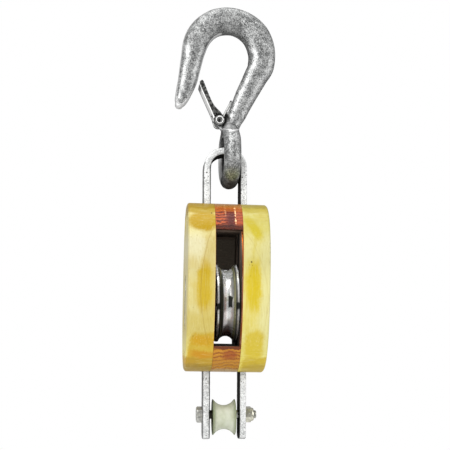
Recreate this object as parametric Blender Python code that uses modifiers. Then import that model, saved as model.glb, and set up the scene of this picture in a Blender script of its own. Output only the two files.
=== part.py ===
# Wood-shell rope block with a reverse-eye latch hook, an inner steel strap,
# one grooved steel sheave on rollers and a small nylon becket sheave.
#
# Frame: metres. Origin where the hook's bowl bears on whatever it hangs from.
# +X along the sheave's axle (towards the becket nut), +Z up,
# +Y through the block, from the front, where the rope enters, to the rear.
# Dimensions are millimetres measured from the axle; the last lines move the
# whole assembly to its origin.

import math

import bmesh
import bpy
from mathutils import Matrix, Vector

for old in list(bpy.data.objects):
    bpy.data.objects.remove(old, do_unlink=True)

MM = 0.001
SIDES = ((-1, "left"), (1, "right"))
FIT = 0.3                             # usual clearance between neighbouring pieces

# ---- driving dimensions ------------------------------------------------------
SHELL_LENGTH = 152.4
SHELL_TOP = 90.0
SHELL_BOTTOM = SHELL_TOP - SHELL_LENGTH
SHELL_MID = SHELL_TOP - SHELL_LENGTH / 2
SHELL_DEPTH = 100.0
SHELL_FULLNESS = 2.6                  # 2 is a plain ellipse; more fills its shoulders
SLOT_WIDTH = 23.8
SLOT_HALF = SLOT_WIDTH / 2
SLOT_TOP = 63.3
SLOT_BOTTOM = -38.0
CHEEK_THICK = 23.9
FACE = SLOT_HALF + CHEEK_THICK        # outer face of a cheek
EDGE_ROUND = 2.4
APRON_BOTTOM, APRON_FRONT = 33.0, 28.0

RIVET_Y = 17.5
RIVET_Z = (75.5, -49.5)
RIVET_HOLE_R = 3.2
RIVET_SEAT_R, RIVET_SEAT_DEPTH = 6.6, 2.2

STRAP_THICK = 6.35
STRAP_GAP = 26.4                      # between the two legs
STRAP_WIDTH = 22.0
STRAP_END = -123.2
LEG_IN = STRAP_GAP / 2
LEG_OUT = LEG_IN + STRAP_THICK
BOW_SPRING = 120.5                    # where the legs start to bend in
BOW_RISE = 20.0
BOW_FULLNESS = 2.2
BOW_STEPS = 20

PIN_R = 6.35
PLATE_R, PLATE_THICK = 10, 2.4        # round-ended plates over the pin's ends
PLATE_SCREW_Z = 15                    # screws above and below the axle
RECESS_DEPTH = 2.9
PLATE_IN = FACE - RECESS_DEPTH + 0.2  # inner face of a pin plate
SCREW_X = FACE - 3                    # origin of a plate screw

SHEAVE_R = 35.0
SHEAVE_WIDTH = 19.5
SHEAVE_SET = 1.3                      # the sheave stands this far right of the middle
GROOVE_R = 7.2
GROOVE_ROOT = 29.9
GROOVE_LIP = 0.5
HUB_R = 16.0
HUB_PROUD = 0.25
WEB_HALF = 4.2
ROLLER_R = 2.35
ROLLER_LENGTH = 19.2
ROLLER_ORBIT = 8.85
ROLLER_COUNT = 10
SLEEVE_IN, SLEEVE_OUT = 11.35, 12.3
THRUST_R = 10.9
THRUST_HALF = {"left": 1.6, "right": 0.55}    # half thicknesses

BECKET_Z = -101.5
BECKET_R = 16.4
BECKET_ROOT = 10.9
BECKET_WIDTH = 20.6
BECKET_BORE = 6.7                     # loose, so the sheave hangs down on its bolt
BECKET_DROP = 2.4
BOLT_R = 4.0
BOLT_END = 29.8
HEX_FLATS = 13.0
HEAD_IN, HEAD_HEIGHT = -LEG_OUT - FIT, 5.3
NUT_IN, NUT_HEIGHT = LEG_OUT + FIT, 5.4
INSERT_X = NUT_IN + 6.05

EYE_X, EYE_Z = 4.5, 134.3             # centre of the hook's eye
EYE_MAJOR, EYE_MINOR = 22.2, 7.7
BEARING_Z = 245.7                     # level spot in the hook's bowl
HOOK_SIDES = 16
HOOK_FULLNESS = 2.25                  # of the bar's cross-section
LUG_R, LUG_THICK = 5.9, 6.0
LATCH_X, LATCH_Z = -5.4, 165.6        # latch pivot
LATCH_HOLE_R = 2.35
LATCH_TILT = 24.6                     # closed latch, degrees left of upright
LATCH_LEN = 38.6
LATCH_HALF = 8.5                      # half its width along Y
LATCH_SHEET = 1.2
LATCH_WEB = -6.2                      # outer face of its web, on the side away from the shank
SPRING_WIRE_R = 0.7
COIL_R = 3.2
COIL_TURNS, COIL_STEPS = 1.417, 20
COIL_OUT, COIL_IN = 6.4, 3.95         # distances along Y at which a coil starts and ends

# ---- collections, materials and helpers --------------------------------------
PARTS = bpy.data.collections.new("sheave_block")
CUTTERS = bpy.data.collections.new("cutters")
bpy.context.scene.collection.children.link(PARTS)
bpy.context.scene.collection.children.link(CUTTERS)


def material(name, colour, roughness, metallic):
    mat = bpy.data.materials.new(name)
    mat.use_nodes = True
    shader = mat.node_tree.nodes["Principled BSDF"]
    shader.inputs["Base Color"].default_value = (*colour, 1)
    shader.inputs["Roughness"].default_value = roughness
    shader.inputs["Metallic"].default_value = metallic
    return mat


GALV = material("galvanised_steel", colour=(0.52, 0.52, 0.52), roughness=0.45, metallic=0.9)
WOOD = material("varnished_wood", colour=(0.80, 0.60, 0.18), roughness=0.3, metallic=0.0)
ENDGRAIN = material("end_grain", colour=(0.62, 0.26, 0.06), roughness=0.3, metallic=0.0)
ZINC = material("zinc_plate", colour=(0.72, 0.73, 0.70), roughness=0.2, metallic=1.0)
DARK = material("dark_steel", colour=(0.10, 0.10, 0.10), roughness=0.5, metallic=0.8)
NYLON = material("nylon", colour=(0.72, 0.74, 0.62), roughness=0.4, metallic=0.0)


def put(name, data, mat=None, where=(0, 0, 0), turn=(0, 0, 0)):
    """Add an object; one without a material is a hidden helper for booleans."""
    obj = bpy.data.objects.new(name, data)
    obj.location = Vector(where) * MM
    obj.rotation_euler = [math.radians(a) for a in turn]
    if mat:
        PARTS.objects.link(obj)
        data.materials.append(mat)
    else:
        CUTTERS.objects.link(obj)
        obj.hide_render = True
        obj.display_type = "WIRE"
    return obj


def mesh_from(bm, name):
    mesh = bpy.data.meshes.new(name)
    bm.to_mesh(mesh)
    bm.free()
    return mesh


def fix_normals(mesh, weld=False):
    bm = bmesh.new()
    bm.from_mesh(mesh)
    if weld:
        bmesh.ops.remove_doubles(bm, verts=bm.verts, dist=0.000001)
    bmesh.ops.recalc_face_normals(bm, faces=bm.faces)
    bm.to_mesh(mesh)
    bm.free()


def smooth(obj, angle):
    obj.data.shade_smooth()
    obj.data.set_sharp_from_angle(angle=math.radians(angle))


def box(name, size, centre, turn=(0, 0, 0)):
    bm = bmesh.new()
    bmesh.ops.create_cube(bm, size=1)
    bmesh.ops.scale(bm, vec=Vector(size) * MM, verts=bm.verts)
    return put(name, mesh_from(bm, name), None, centre, turn)


def cylinder(name, radius, length, centre, axis="X", segs=32, mat=None):
    bm = bmesh.new()
    bmesh.ops.create_cone(bm, cap_ends=True, segments=segs, radius1=radius * MM,
                          radius2=radius * MM, depth=length * MM)
    if axis == "X":
        rotation = Matrix.Rotation(math.pi / 2, 3, "Y")
    else:
        rotation = Matrix.Rotation(-math.pi / 2, 3, "X")
    bmesh.ops.rotate(bm, verts=bm.verts, matrix=rotation)
    return put(name, mesh_from(bm, name), mat, centre)


def turned(name, profile, segs, mat=None, where=(0, 0, 0), turn=(0, 90, 0), ring=False):
    """A profile of (radius, height) turned about local Z; it runs down its outer side."""
    mesh = bpy.data.meshes.new(name)
    edges = [(i, i + 1) for i in range(len(profile) - 1)]
    if ring:
        edges.append((len(profile) - 1, 0))
    mesh.from_pydata([(r * MM, 0, h * MM) for r, h in profile], edges, [])
    obj = put(name, mesh, mat, where, turn)
    screw = obj.modifiers.new("turn", "SCREW")
    screw.axis = "Z"
    screw.steps = screw.render_steps = segs
    screw.use_merge_vertices = True
    screw.merge_threshold = 0.00001
    screw.use_smooth_shade = True
    return obj


def tube(name, outer_r, inner_r, low, high, segs, mat, where):
    """A plain ring along X, between low and high from its place."""
    profile = [(outer_r, high), (outer_r, low), (inner_r, low), (inner_r, high)]
    turned(name, profile, segs, mat, where, ring=True)


def mirrored(upper, middle=()):
    """A profile that is the same above and below height 0."""
    return upper + list(middle) + [(r, -h) for r, h in reversed(upper)]


def groove(root, radius, reach, steps):
    """Profile of a rope groove: an arc whose lowest radius is root, reach to each side."""
    heights = [reach * (1 - 2 * i / steps) for i in range(steps + 1)]
    return [(root + radius - math.sqrt(radius * radius - h * h), h) for h in heights]


def cut(obj, cutter, how="DIFFERENCE"):
    boolean = obj.modifiers.new(cutter.name, "BOOLEAN")
    boolean.operation = how
    boolean.object = cutter
    boolean.solver = "EXACT"


def round_edges(obj, width, segments, angle):
    bevel = obj.modifiers.new("round", "BEVEL")
    bevel.width = width * MM
    bevel.segments = segments
    bevel.limit_method = "ANGLE"
    bevel.angle_limit = math.radians(angle)
    bevel.use_clamp_overlap = True


def arc(cx, cy, radius, start, end, steps):
    angles = [math.radians(start + (end - start) * i / steps) for i in range(steps + 1)]
    return [(cx + radius * math.cos(a), cy + radius * math.sin(a)) for a in angles]


def outlined(name, points, thick, mat=None, where=(0, 0, 0), turn=(0, 0, 0)):
    """A flat outline as a filled 2D curve, extruded both ways, then made a mesh."""
    curve = bpy.data.curves.new(name, "CURVE")
    curve.dimensions = "2D"
    curve.fill_mode = "BOTH"
    curve.extrude = thick / 2 * MM
    spline = curve.splines.new("POLY")
    spline.points.add(len(points) - 1)
    for point, (x, y) in zip(spline.points, points):
        point.co = (x * MM, y * MM, 0, 1)
    spline.use_cyclic_u = True
    temporary = bpy.data.objects.new(name + "_curve", curve)
    bpy.context.scene.collection.objects.link(temporary)
    bpy.context.view_layer.update()
    graph = bpy.context.evaluated_depsgraph_get()
    mesh = bpy.data.meshes.new_from_object(temporary.evaluated_get(graph))
    bpy.data.objects.remove(temporary)
    fix_normals(mesh, weld=True)
    mesh.name = name
    return put(name, mesh, mat, where, turn)


# ---- shell -------------------------------------------------------------------
def oval_plate(name, x0, x1, mat):
    """The shell's whole oval outline, from x0 to x1."""
    bm = bmesh.new()
    bmesh.ops.create_cone(bm, cap_ends=True, segments=72, radius1=1, radius2=1, depth=1)
    bmesh.ops.rotate(bm, verts=bm.verts, matrix=Matrix.Rotation(math.pi / 2, 3, "Y"))
    for vert in bm.verts:
        vert.co.y = math.copysign(abs(vert.co.y) ** (2 / SHELL_FULLNESS), vert.co.y)
        vert.co.z = math.copysign(abs(vert.co.z) ** (2 / SHELL_FULLNESS), vert.co.z)
    bmesh.ops.scale(bm, verts=bm.verts,
                    vec=((x1 - x0) * MM, SHELL_DEPTH / 2 * MM, SHELL_LENGTH / 2 * MM))
    return put(name, mesh_from(bm, name), mat, ((x0 + x1) / 2, 0, SHELL_MID))


def pin_plate_shape(name, radius, thick, x, mat=None):
    """An upright long plate with round ends, square to X."""
    points = (arc(0, PLATE_SCREW_Z, radius, 0, 180, 10)
              + arc(0, -PLATE_SCREW_Z, radius, 180, 360, 10))
    return outlined(name, points, thick, mat, (x, 0, 0), (90, 0, 90))


def build_cheek(side, tag):
    cheek = oval_plate(tag + "_cheek", *sorted((side * SLOT_HALF, side * FACE)), WOOD)
    round_edges(cheek, EDGE_ROUND, segments=3, angle=60)

    channel_in = SLOT_HALF - 1
    channel_depth = LEG_OUT + FIT - channel_in
    cut(cheek, box(tag + "_strap_channel",
                   (channel_depth, STRAP_WIDTH + 2 * FIT, SHELL_LENGTH + 20),
                   (side * (channel_in + channel_depth / 2), 0, SHELL_MID)))
    cheek_mid = side * (SLOT_HALF + CHEEK_THICK / 2)
    cut(cheek, cylinder(tag + "_pin_bore", PIN_R + FIT, CHEEK_THICK + 10, (cheek_mid, 0, 0)))

    recess = pin_plate_shape(tag + "_plate_recess", PLATE_R + FIT, 10,
                             side * (FACE - RECESS_DEPTH + 5))
    cut(cheek, recess)

    for k in (-1, 1):
        cut(cheek, cylinder(f"{tag}_screw_hole_{k}", 2.1, 17,
                            (side * (FACE - RECESS_DEPTH - 7.5), 0, PLATE_SCREW_Z * k),
                            segs=12))
        for z in RIVET_Z:
            cut(cheek, cylinder(f"{tag}_rivet_hole_{k}_{z}", RIVET_HOLE_R, CHEEK_THICK + 6,
                                (cheek_mid, RIVET_Y * k, z), segs=16))
            cut(cheek, cylinder(f"{tag}_rivet_seat_{k}_{z}", RIVET_SEAT_R, 6,
                                (side * (FACE - RIVET_SEAT_DEPTH + 3), RIVET_Y * k, z),
                                segs=20))


def build_spacer(tag, bottom, top, rivet_z):
    """The part of the shell's oval between two heights, filling the slot."""
    spacer = oval_plate(tag + "_spacer", -SLOT_HALF + FIT, SLOT_HALF - FIT, ENDGRAIN)
    round_edges(spacer, 0.7, segments=1, angle=60)
    cut(spacer, box(tag + "_spacer_keep", (SLOT_WIDTH + 10, SHELL_DEPTH + 20, top - bottom),
                    (0, 0, (bottom + top) / 2)), "INTERSECT")
    if tag == "upper":
        # leaves a rear apron that shuts the slot behind the top of the sheave
        front, low = -100, APRON_BOTTOM - 10
        cut(spacer, box("upper_spacer_throat",
                        (SLOT_WIDTH + 10, APRON_FRONT - front, SLOT_TOP - low),
                        (0, (APRON_FRONT + front) / 2, (SLOT_TOP + low) / 2)))
    for k in (-1, 1):
        cut(spacer, cylinder(f"{tag}_spacer_hole_{k}", RIVET_HOLE_R, SLOT_WIDTH + 6,
                             (0, RIVET_Y * k, rivet_z), segs=16))


def build_shell_rivet(tag, y, z):
    """A through rivet, headed at the right, and its washer set in the left cheek."""
    end = FACE - 0.4
    shank = RIVET_HOLE_R - FIT
    turned(f"{tag}_shell_rivet",
           [(0, end), (3.6, end), (5.4, end - 0.7), (5.9, end - 1.5), (shank, end - 1.5),
            (shank, -end + 0.9), (3.9, -end + 0.7), (3.4, -end + 0.1), (0, -end)],
           16, ZINC, (0, y, z))
    tube(f"{tag}_rivet_washer", 6.2, RIVET_HOLE_R, 0, 0.6, 20, ZINC, (-FACE + 1.4, y, z))


for side, tag in SIDES:
    build_cheek(side, tag)
build_spacer("upper", APRON_BOTTOM, SHELL_TOP + 5, RIVET_Z[0])
build_spacer("lower", SHELL_BOTTOM - 5, SLOT_BOTTOM, RIVET_Z[1])
for level, z in zip(("upper", "lower"), RIVET_Z):
    build_shell_rivet(level + "_front", -RIVET_Y, z)
    build_shell_rivet(level + "_rear", RIVET_Y, z)


# ---- strap -------------------------------------------------------------------
def bow_outside():
    """The strap's outer curve, right to left: a slightly squared half ellipse."""
    power = 2 / BOW_FULLNESS
    points = []
    for i in range(BOW_STEPS + 1):
        a = math.pi * i / BOW_STEPS
        points.append((LEG_OUT * math.copysign(abs(math.cos(a)) ** power, BOW_STEPS - 2 * i),
                       BOW_SPRING + BOW_RISE * math.sin(a) ** power))
    points[BOW_STEPS // 2] = (0.0, BOW_SPRING + BOW_RISE)    # exactly on the middle
    return points


def bow_inside(outer):
    """The same curve moved in by the strap's thickness, square to itself."""
    points = []
    for x, z in outer:
        normal_x = math.copysign(abs(x / LEG_OUT) ** (BOW_FULLNESS - 1) / LEG_OUT, x)
        normal_z = ((z - BOW_SPRING) / BOW_RISE) ** (BOW_FULLNESS - 1) / BOW_RISE
        scale = STRAP_THICK / math.hypot(normal_x, normal_z)
        points.append((x - scale * normal_x, z - scale * normal_z))
    return points


def build_strap():
    outer = bow_outside()
    outline = ([(LEG_OUT, STRAP_END)] + outer + [(-LEG_OUT, STRAP_END), (-LEG_IN, STRAP_END)]
               + bow_inside(outer)[::-1] + [(LEG_IN, STRAP_END)])
    strap = outlined("inner_strap", outline, STRAP_WIDTH, GALV, turn=(90, 0, 0))
    round_edges(strap, 1.5, segments=2, angle=50)
    cut(strap, cylinder("strap_pin_hole", PIN_R + FIT, 60, (0, 0, 0)))
    cut(strap, cylinder("strap_bolt_hole", BOLT_R + FIT, 60, (0, 0, BECKET_Z), segs=24))
    smooth(strap, 50)


build_strap()


# ---- centre pin, its side plates and their screws ----------------------------
def build_plate_screw(plate, side, tag, level, k, slot_turn):
    """One countersunk screw, with the hole it needs in its plate."""
    place = (side * SCREW_X, 0, PLATE_SCREW_Z * k)
    outwards = (0, 90 * side, 0)
    countersink = [(0, 4), (4.6, 4), (4.6, 2.6), (2.3, 0.4), (2.3, -4), (0, -4)]
    cut(plate, turned(f"{tag}_{level}_countersink", countersink, 16, None, place, outwards))
    head = 2.3
    screw = turned(f"{tag}_plate_{level}_screw",
                   [(0, head), (3.7, head), (3.7, head - 0.4), (1.75, head - 2.4),
                    (1.75, -8.5), (0, -11.5)],
                   16, ZINC, place, outwards)
    cut(screw, box(f"{tag}_{level}_screw_slot", (1.4, 0.9, 9),
                   (side * (FACE - 0.5), 0, PLATE_SCREW_Z * k), turn=(slot_turn, 0, 0)))


PIN_END, PIN_CHAMFER = PLATE_IN - 0.3, 0.6
turned("centre_pin",
       mirrored([(0, PIN_END), (PIN_R - PIN_CHAMFER, PIN_END), (PIN_R, PIN_END - PIN_CHAMFER)]),
       40, ZINC)
for side, tag in SIDES:
    plate = pin_plate_shape(tag + "_pin_plate", PLATE_R, PLATE_THICK,
                            side * (PLATE_IN + PLATE_THICK / 2), GALV)
    round_edges(plate, 0.4, segments=1, angle=50)
    build_plate_screw(plate, side, tag, "lower", -1, slot_turn=35)
    build_plate_screw(plate, side, tag, "upper", 1, slot_turn=-20)


# ---- main sheave, its bearing sleeve, rollers and thrust washers -------------
def build_main_sheave():
    half = SHEAVE_WIDTH / 2
    hub_half = half + HUB_PROUD
    chamfer = 0.6
    groove_depth = SHEAVE_R - GROOVE_LIP - GROOVE_ROOT
    reach = math.sqrt(GROOVE_R ** 2 - (GROOVE_R - groove_depth) ** 2)
    # from the bore, over the hub and the dished web, to the edge of the groove
    flank = [(SLEEVE_OUT + FIT, hub_half), (HUB_R, hub_half), (HUB_R + 0.6, WEB_HALF),
             (24.5, WEB_HALF), (25.5, half), (SHEAVE_R - chamfer, half),
             (SHEAVE_R, half - chamfer), (SHEAVE_R, reach + GROOVE_LIP)]
    turned("main_sheave", mirrored(flank, groove(GROOVE_ROOT, GROOVE_R, reach, 8)),
           56, ZINC, (SHEAVE_SET, 0, 0), ring=True)
    tube("bearing_sleeve", SLEEVE_OUT, SLEEVE_IN, -half, half, 48, ZINC, (SHEAVE_SET, 0, 0))


def build_rollers():
    for i in range(ROLLER_COUNT):
        a = 2 * math.pi * (i + 0.5) / ROLLER_COUNT
        place = (SHEAVE_SET, ROLLER_ORBIT * math.cos(a), ROLLER_ORBIT * math.sin(a))
        roller = cylinder(f"bearing_roller_{i + 1:02d}", ROLLER_R, ROLLER_LENGTH, place,
                          segs=16, mat=ZINC)
        smooth(roller, 35)


build_main_sheave()
build_rollers()
# the left thrust washer is the thicker one, which is why the sheave stands off centre
for side, tag in SIDES:
    half = THRUST_HALF[tag]
    tube(tag + "_thrust_washer", THRUST_R, PIN_R + FIT, -half, half, 36, ZINC,
         (side * (LEG_IN - FIT - half), 0, 0))


# ---- becket: nylon sheave on a bolt through the strap's ends -----------------
def build_becket_sheave():
    half = BECKET_WIDTH / 2
    chamfer = 0.3
    reach = half - 0.8
    depth = BECKET_R - BECKET_ROOT
    radius = (reach * reach + depth * depth) / (2 * depth)
    flank = [(BECKET_BORE, half), (BECKET_R - chamfer, half), (BECKET_R, half - chamfer)]
    turned("becket_sheave", mirrored(flank, groove(BECKET_ROOT, radius, reach, 12)),
           44, NYLON, (0, 0, BECKET_Z - BECKET_DROP), ring=True)


def hexagon(name, x0, x1, spin, mat=None):
    """Hex prism along X, its corners turned down at the x1 end."""
    flat_r = HEX_FLATS / 2
    prism = cylinder(name, flat_r / math.cos(math.pi / 6), abs(x1 - x0),
                     ((x0 + x1) / 2, 0, BECKET_Z), segs=6, mat=mat)
    prism.rotation_euler = (math.radians(spin), 0, 0)
    profile = [(0, 1), (flat_r - 0.2, 0.0), (flat_r + 1.4, -0.95), (flat_r + 1.4, -30), (0, -30)]
    outwards = 90 if x1 > x0 else -90
    cut(prism, turned(name + "_chamfer", profile, 36, None, (x1, 0, BECKET_Z),
                      (0, outwards, 0)), "INTERSECT")
    return prism


def build_bolt():
    inside_head = HEAD_IN - 1
    bolt = turned("becket_bolt",
                  [(0, BOLT_END), (BOLT_R - 0.8, BOLT_END), (BOLT_R, BOLT_END - 0.8),
                   (BOLT_R, inside_head), (0, inside_head)],
                  32, ZINC, (0, 0, BECKET_Z))
    cut(bolt, hexagon("bolt_head_form", HEAD_IN, HEAD_IN - HEAD_HEIGHT, spin=20), "UNION")
    smooth(bolt, 30)


def build_locknut():
    nut = hexagon("becket_locknut", NUT_IN, NUT_IN + NUT_HEIGHT, spin=12, mat=ZINC)
    collar = [(0, 7.6), (4.9, 7.6), (5.7, 6.9), (6.0, 5.9), (6.0, 3), (0, 3)]
    cut(nut, turned("nut_collar_form", collar, 32, None, (NUT_IN, 0, BECKET_Z)), "UNION")
    cut(nut, cylinder("nut_bore", BOLT_R + FIT, 30, (LEG_OUT + 5, 0, BECKET_Z)))
    cut(nut, cylinder("nut_insert_seat", 5.2, 1.9, (INSERT_X, 0, BECKET_Z)))
    smooth(nut, 30)
    tube("locknut_insert", 4.95, BOLT_R + 0.25, -0.7, 0.7, 32, NYLON, (INSERT_X, 0, BECKET_Z))


build_becket_sheave()
build_bolt()
build_locknut()

# ---- hook: a forged bar lofted along its centre line, with an eye and a lug --
# From the point, round the bowl, down the shank. Columns: X and Z of the centre
# line, thickness in the hook's plane, thickness along Y.
STATIONS = [
    (-41.8, 180.3, 7.8, 7.2), (-40.5, 183.4, 11.2, 9.8), (-37.2, 192.9, 15.0, 13.0),
    (-34.5, 201.5, 17.4, 15.0), (-33.0, 208.6, 18.4, 16.0), (-29.9, 224.4, 20.4, 17.4),
    (-26.9, 237.1, 22.9, 18.4), (-22.5, 245.3, 23.6, 18.9), (-16.4, 251.5, 23.6, 19.2),
    (-8.7, 255.9, 23.8, 19.4), (0.4, 257.6, 24.2, 19.6), (9.9, 256.7, 24.2, 19.6),
    (18.4, 253.3, 24.8, 19.6), (25.4, 247.9, 25.4, 19.6), (30.4, 240.5, 25.6, 19.4),
    (33.2, 231.6, 25.2, 19.0), (33.7, 223.0, 24.6, 18.6), (32.3, 215.5, 23.8, 18.2),
    (28.9, 208.8, 22.0, 17.6), (23.2, 197.9, 20.4, 16.6), (17.4, 186.2, 18.8, 15.4),
    (12.2, 174.8, 17.0, 14.2), (7.6, 165.5, 15.2, 13.0), (5.0, 157.6, 14.2, 13.2),
]
CROWN = 10                            # the station at the crown of the bowl
CROWN_FLAT_X = (-1.7, 4.9)            # ends of the level length there


def catmull(p0, p1, p2, p3, t):
    return [0.5 * (2 * b + (c - a) * t + (2 * a - 5 * b + 4 * c - d) * t * t
                   + (3 * b - a - 3 * c + d) * t ** 3)
            for a, b, c, d in zip(p0, p1, p2, p3)]


def hook_sections():
    """(centre, half thickness in plane, half thickness along Y) and a tangent for each."""
    last = len(STATIONS) - 1
    rows = []
    for i in range(last):
        near = [STATIONS[max(0, min(last, i + k))] for k in (-1, 0, 1, 2)]
        rows += [catmull(*near, t) for t in (0, 0.5)]
    rows.append(STATIONS[-1])
    sections = [(Vector((x, 0, z)), wide / 2, deep / 2) for x, z, wide, deep in rows]
    tangents = []
    for i in range(len(sections)):
        before = sections[max(0, i - 1)][0]
        after = sections[min(len(sections) - 1, i + 1)][0]
        tangents.append((after - before).normalized())
    # level flat at the crown, where the hook bears on its anchor
    _, z, wide, deep = STATIONS[CROWN]
    for i, x in enumerate(CROWN_FLAT_X, 2 * CROWN):
        sections[i] = (Vector((x, 0, z)), wide / 2, deep / 2)
        tangents[i] = Vector((1, 0, 0))
    return sections, tangents


def hook_ring(centre, tangent, half_wide, half_deep):
    """Vertices of one cross-section, a slightly squared ellipse."""
    outwards = Vector((-tangent.z, 0, tangent.x))    # away from the bowl
    power = 2 / HOOK_FULLNESS
    verts = []
    for j in range(HOOK_SIDES):
        a = 2 * math.pi * (j + 0.5) / HOOK_SIDES
        cosine, sine = math.cos(a), math.sin(a)
        across = half_wide * math.copysign(abs(cosine) ** power, cosine)
        y = half_deep * math.copysign(abs(sine) ** power, sine)
        verts.append((centre + outwards * across + Vector((0, y, 0))) * MM)
    return verts


def hook_bar():
    sections, tangents = hook_sections()
    verts = []
    centre, wide, deep = sections[0]
    for share in (0.35, 0.8):         # rounded point
        tip = centre - tangents[0] * (wide * math.sqrt(1 - share * share))
        verts += hook_ring(tip, tangents[0], wide * share, deep * share)
    for (centre, wide, deep), tangent in zip(sections, tangents):
        verts += hook_ring(centre, tangent, wide, deep)

    faces = []
    last = len(verts) - HOOK_SIDES    # first vertex of the last ring
    for start in range(0, last, HOOK_SIDES):
        for j in range(HOOK_SIDES):
            a, b = start + j, start + (j + 1) % HOOK_SIDES
            faces.append((a, b, b + HOOK_SIDES, a + HOOK_SIDES))
    faces.append(tuple(range(HOOK_SIDES))[::-1])
    faces.append(tuple(range(last, len(verts))))
    mesh = bpy.data.meshes.new("hook")
    mesh.from_pydata(verts, [], faces)
    fix_normals(mesh)
    return put("hook", mesh, GALV)


def build_hook():
    hook = hook_bar()
    # the eye: a ring whose plane is square to the hook's plane
    angles = [2 * math.pi * i / 16 for i in range(16)]
    circle = [(EYE_MAJOR + EYE_MINOR * math.cos(a), EYE_MINOR * math.sin(a)) for a in angles]
    cut(hook, turned("hook_eye_form", circle[::-1], 44, None, (EYE_X, 0, EYE_Z), ring=True),
        "UNION")
    # lug that carries the latch, blended into the shank by a web; outline in X and Z
    outline = arc(LATCH_X, LATCH_Z, LUG_R, 100, 235, 9) + [
        (-6.3, 157.4), (-4.3, 154.6), (-2.5, 152.0), (6.0, 152.0),
        (8.6, 158.0), (11.7, 176.0), (6.7, 176.3)]
    cut(hook, outlined("hook_lug_form", outline, LUG_THICK, turn=(90, 0, 0)), "UNION")
    cut(hook, cylinder("lug_hole", LATCH_HOLE_R, 30, (LATCH_X, 0, LATCH_Z), "Y", segs=20))
    smooth(hook, 50)


build_hook()

# ---- latch, its rivet and spring ---------------------------------------------
# the latch's frame: local x along it from its pivot, local y towards the shank,
# local z along +Y
LATCH_ANGLE = math.radians(90 + LATCH_TILT)
PIVOT = Vector((LATCH_X, 0, LATCH_Z))
ALONG = Vector((math.cos(LATCH_ANGLE), 0, math.sin(LATCH_ANGLE)))
TO_SHANK = Vector((math.sin(LATCH_ANGLE), 0, -math.cos(LATCH_ANGLE)))


def latch_frame(obj, shift=(0, 0, 0)):
    """Place an object in the latch's frame, shifted in that frame's own axes."""
    obj.rotation_mode = "QUATERNION"
    axes = Matrix((ALONG, TO_SHANK, ALONG.cross(TO_SHANK))).transposed()
    obj.rotation_quaternion = axes.to_quaternion()
    obj.location = PIVOT * MM + obj.rotation_quaternion @ Vector(shift) * MM
    return obj


def build_latch():
    outline = arc(0, 0, 5.6, 270, 55, 13) + [
        (7.4, 2.7), (12.6, 0.3), (17.0, -0.8), (24.0, -0.5), (LATCH_LEN, 0.6),
        (LATCH_LEN + 0.8, -0.6), (LATCH_LEN + 0.2, -4.0), (LATCH_LEN - 1.0, LATCH_WEB),
        (5.0, LATCH_WEB - 0.2)]
    latch = latch_frame(outlined("hook_latch", outline, 2 * LATCH_HALF, DARK))
    inside = 2 * (LATCH_HALF - LATCH_SHEET)
    cut(latch, latch_frame(box("latch_hollow", (90, 30, inside), (0, 0, 0)),
                           (0, LATCH_WEB + LATCH_SHEET + 15, 0)))
    # the web stops above the pivot, so that the lug can pass between the two ears
    cut(latch, latch_frame(box("latch_ear_gap", (20, 30, inside), (0, 0, 0)), (-6.3, 0, 0)))
    cut(latch, cylinder("latch_rivet_hole", LATCH_HOLE_R, 30, PIVOT, "Y", segs=20))
    smooth(latch, 40)


def build_latch_rivet():
    seat = LATCH_HALF + 0.3
    head = [(0, seat + 0.2), (1.7, seat + 0.3), (2.2, seat + 1.2), (3.1, seat + 1.3),
            (3.8, seat + 0.8), (3.9, seat), (2.0, seat)]
    turned("latch_rivet", mirrored(head), 20, ZINC, PIVOT, (90, 0, 0))


def build_latch_spring():
    """Double torsion spring: leg inside the latch, coil, loop on the shank, coil, leg."""
    y_axis = Vector((0, 1, 0))
    path = []
    # the leg: distance along the latch, and how far it lies outside the coil's radius
    for along, beyond in ((15, 0.7), (7.5, 0.2)):
        path.append(PIVOT - TO_SHANK * (COIL_R + beyond) + ALONG * along - y_axis * COIL_OUT)
    for i in range(COIL_STEPS + 1):
        a = COIL_TURNS * 2 * math.pi * i / COIL_STEPS
        y = -COIL_OUT + (COIL_OUT - COIL_IN) * i / COIL_STEPS
        path.append(PIVOT + (-TO_SHANK * math.cos(a) - ALONG * math.sin(a)) * COIL_R
                    + y_axis * y)
    # front half of the loop, X Y Z
    path += [Vector(p) for p in (
        (-1.5, -4.0, 170.0), (0.6, -4.0, 174.6), (2.9, -3.8, 178.4),
        (4.2, -3.0, 180.7), (4.8, -1.8, 181.8), (4.9, -0.6, 182.2))]
    path += [Vector((p.x, -p.y, p.z)) for p in reversed(path)]

    curve = bpy.data.curves.new("latch_spring", "CURVE")
    curve.dimensions = "3D"
    curve.bevel_depth = SPRING_WIRE_R * MM
    curve.bevel_resolution = 1
    curve.use_fill_caps = True
    spline = curve.splines.new("POLY")
    spline.points.add(len(path) - 1)
    for point, p in zip(spline.points, path):
        point.co = (p.x * MM, p.y * MM, p.z * MM, 1)
    put("latch_spring", curve, ZINC)


build_latch()
build_latch_rivet()
build_latch_spring()

# the assembly's origin is the level spot in the bowl
for obj in list(PARTS.objects) + list(CUTTERS.objects):
    obj.location.z -= BEARING_Z * MM
bpy.context.view_layer.update()
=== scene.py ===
import math
import bpy
import bmesh
import numpy as np
from mathutils import Vector, Matrix, noise


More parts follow.
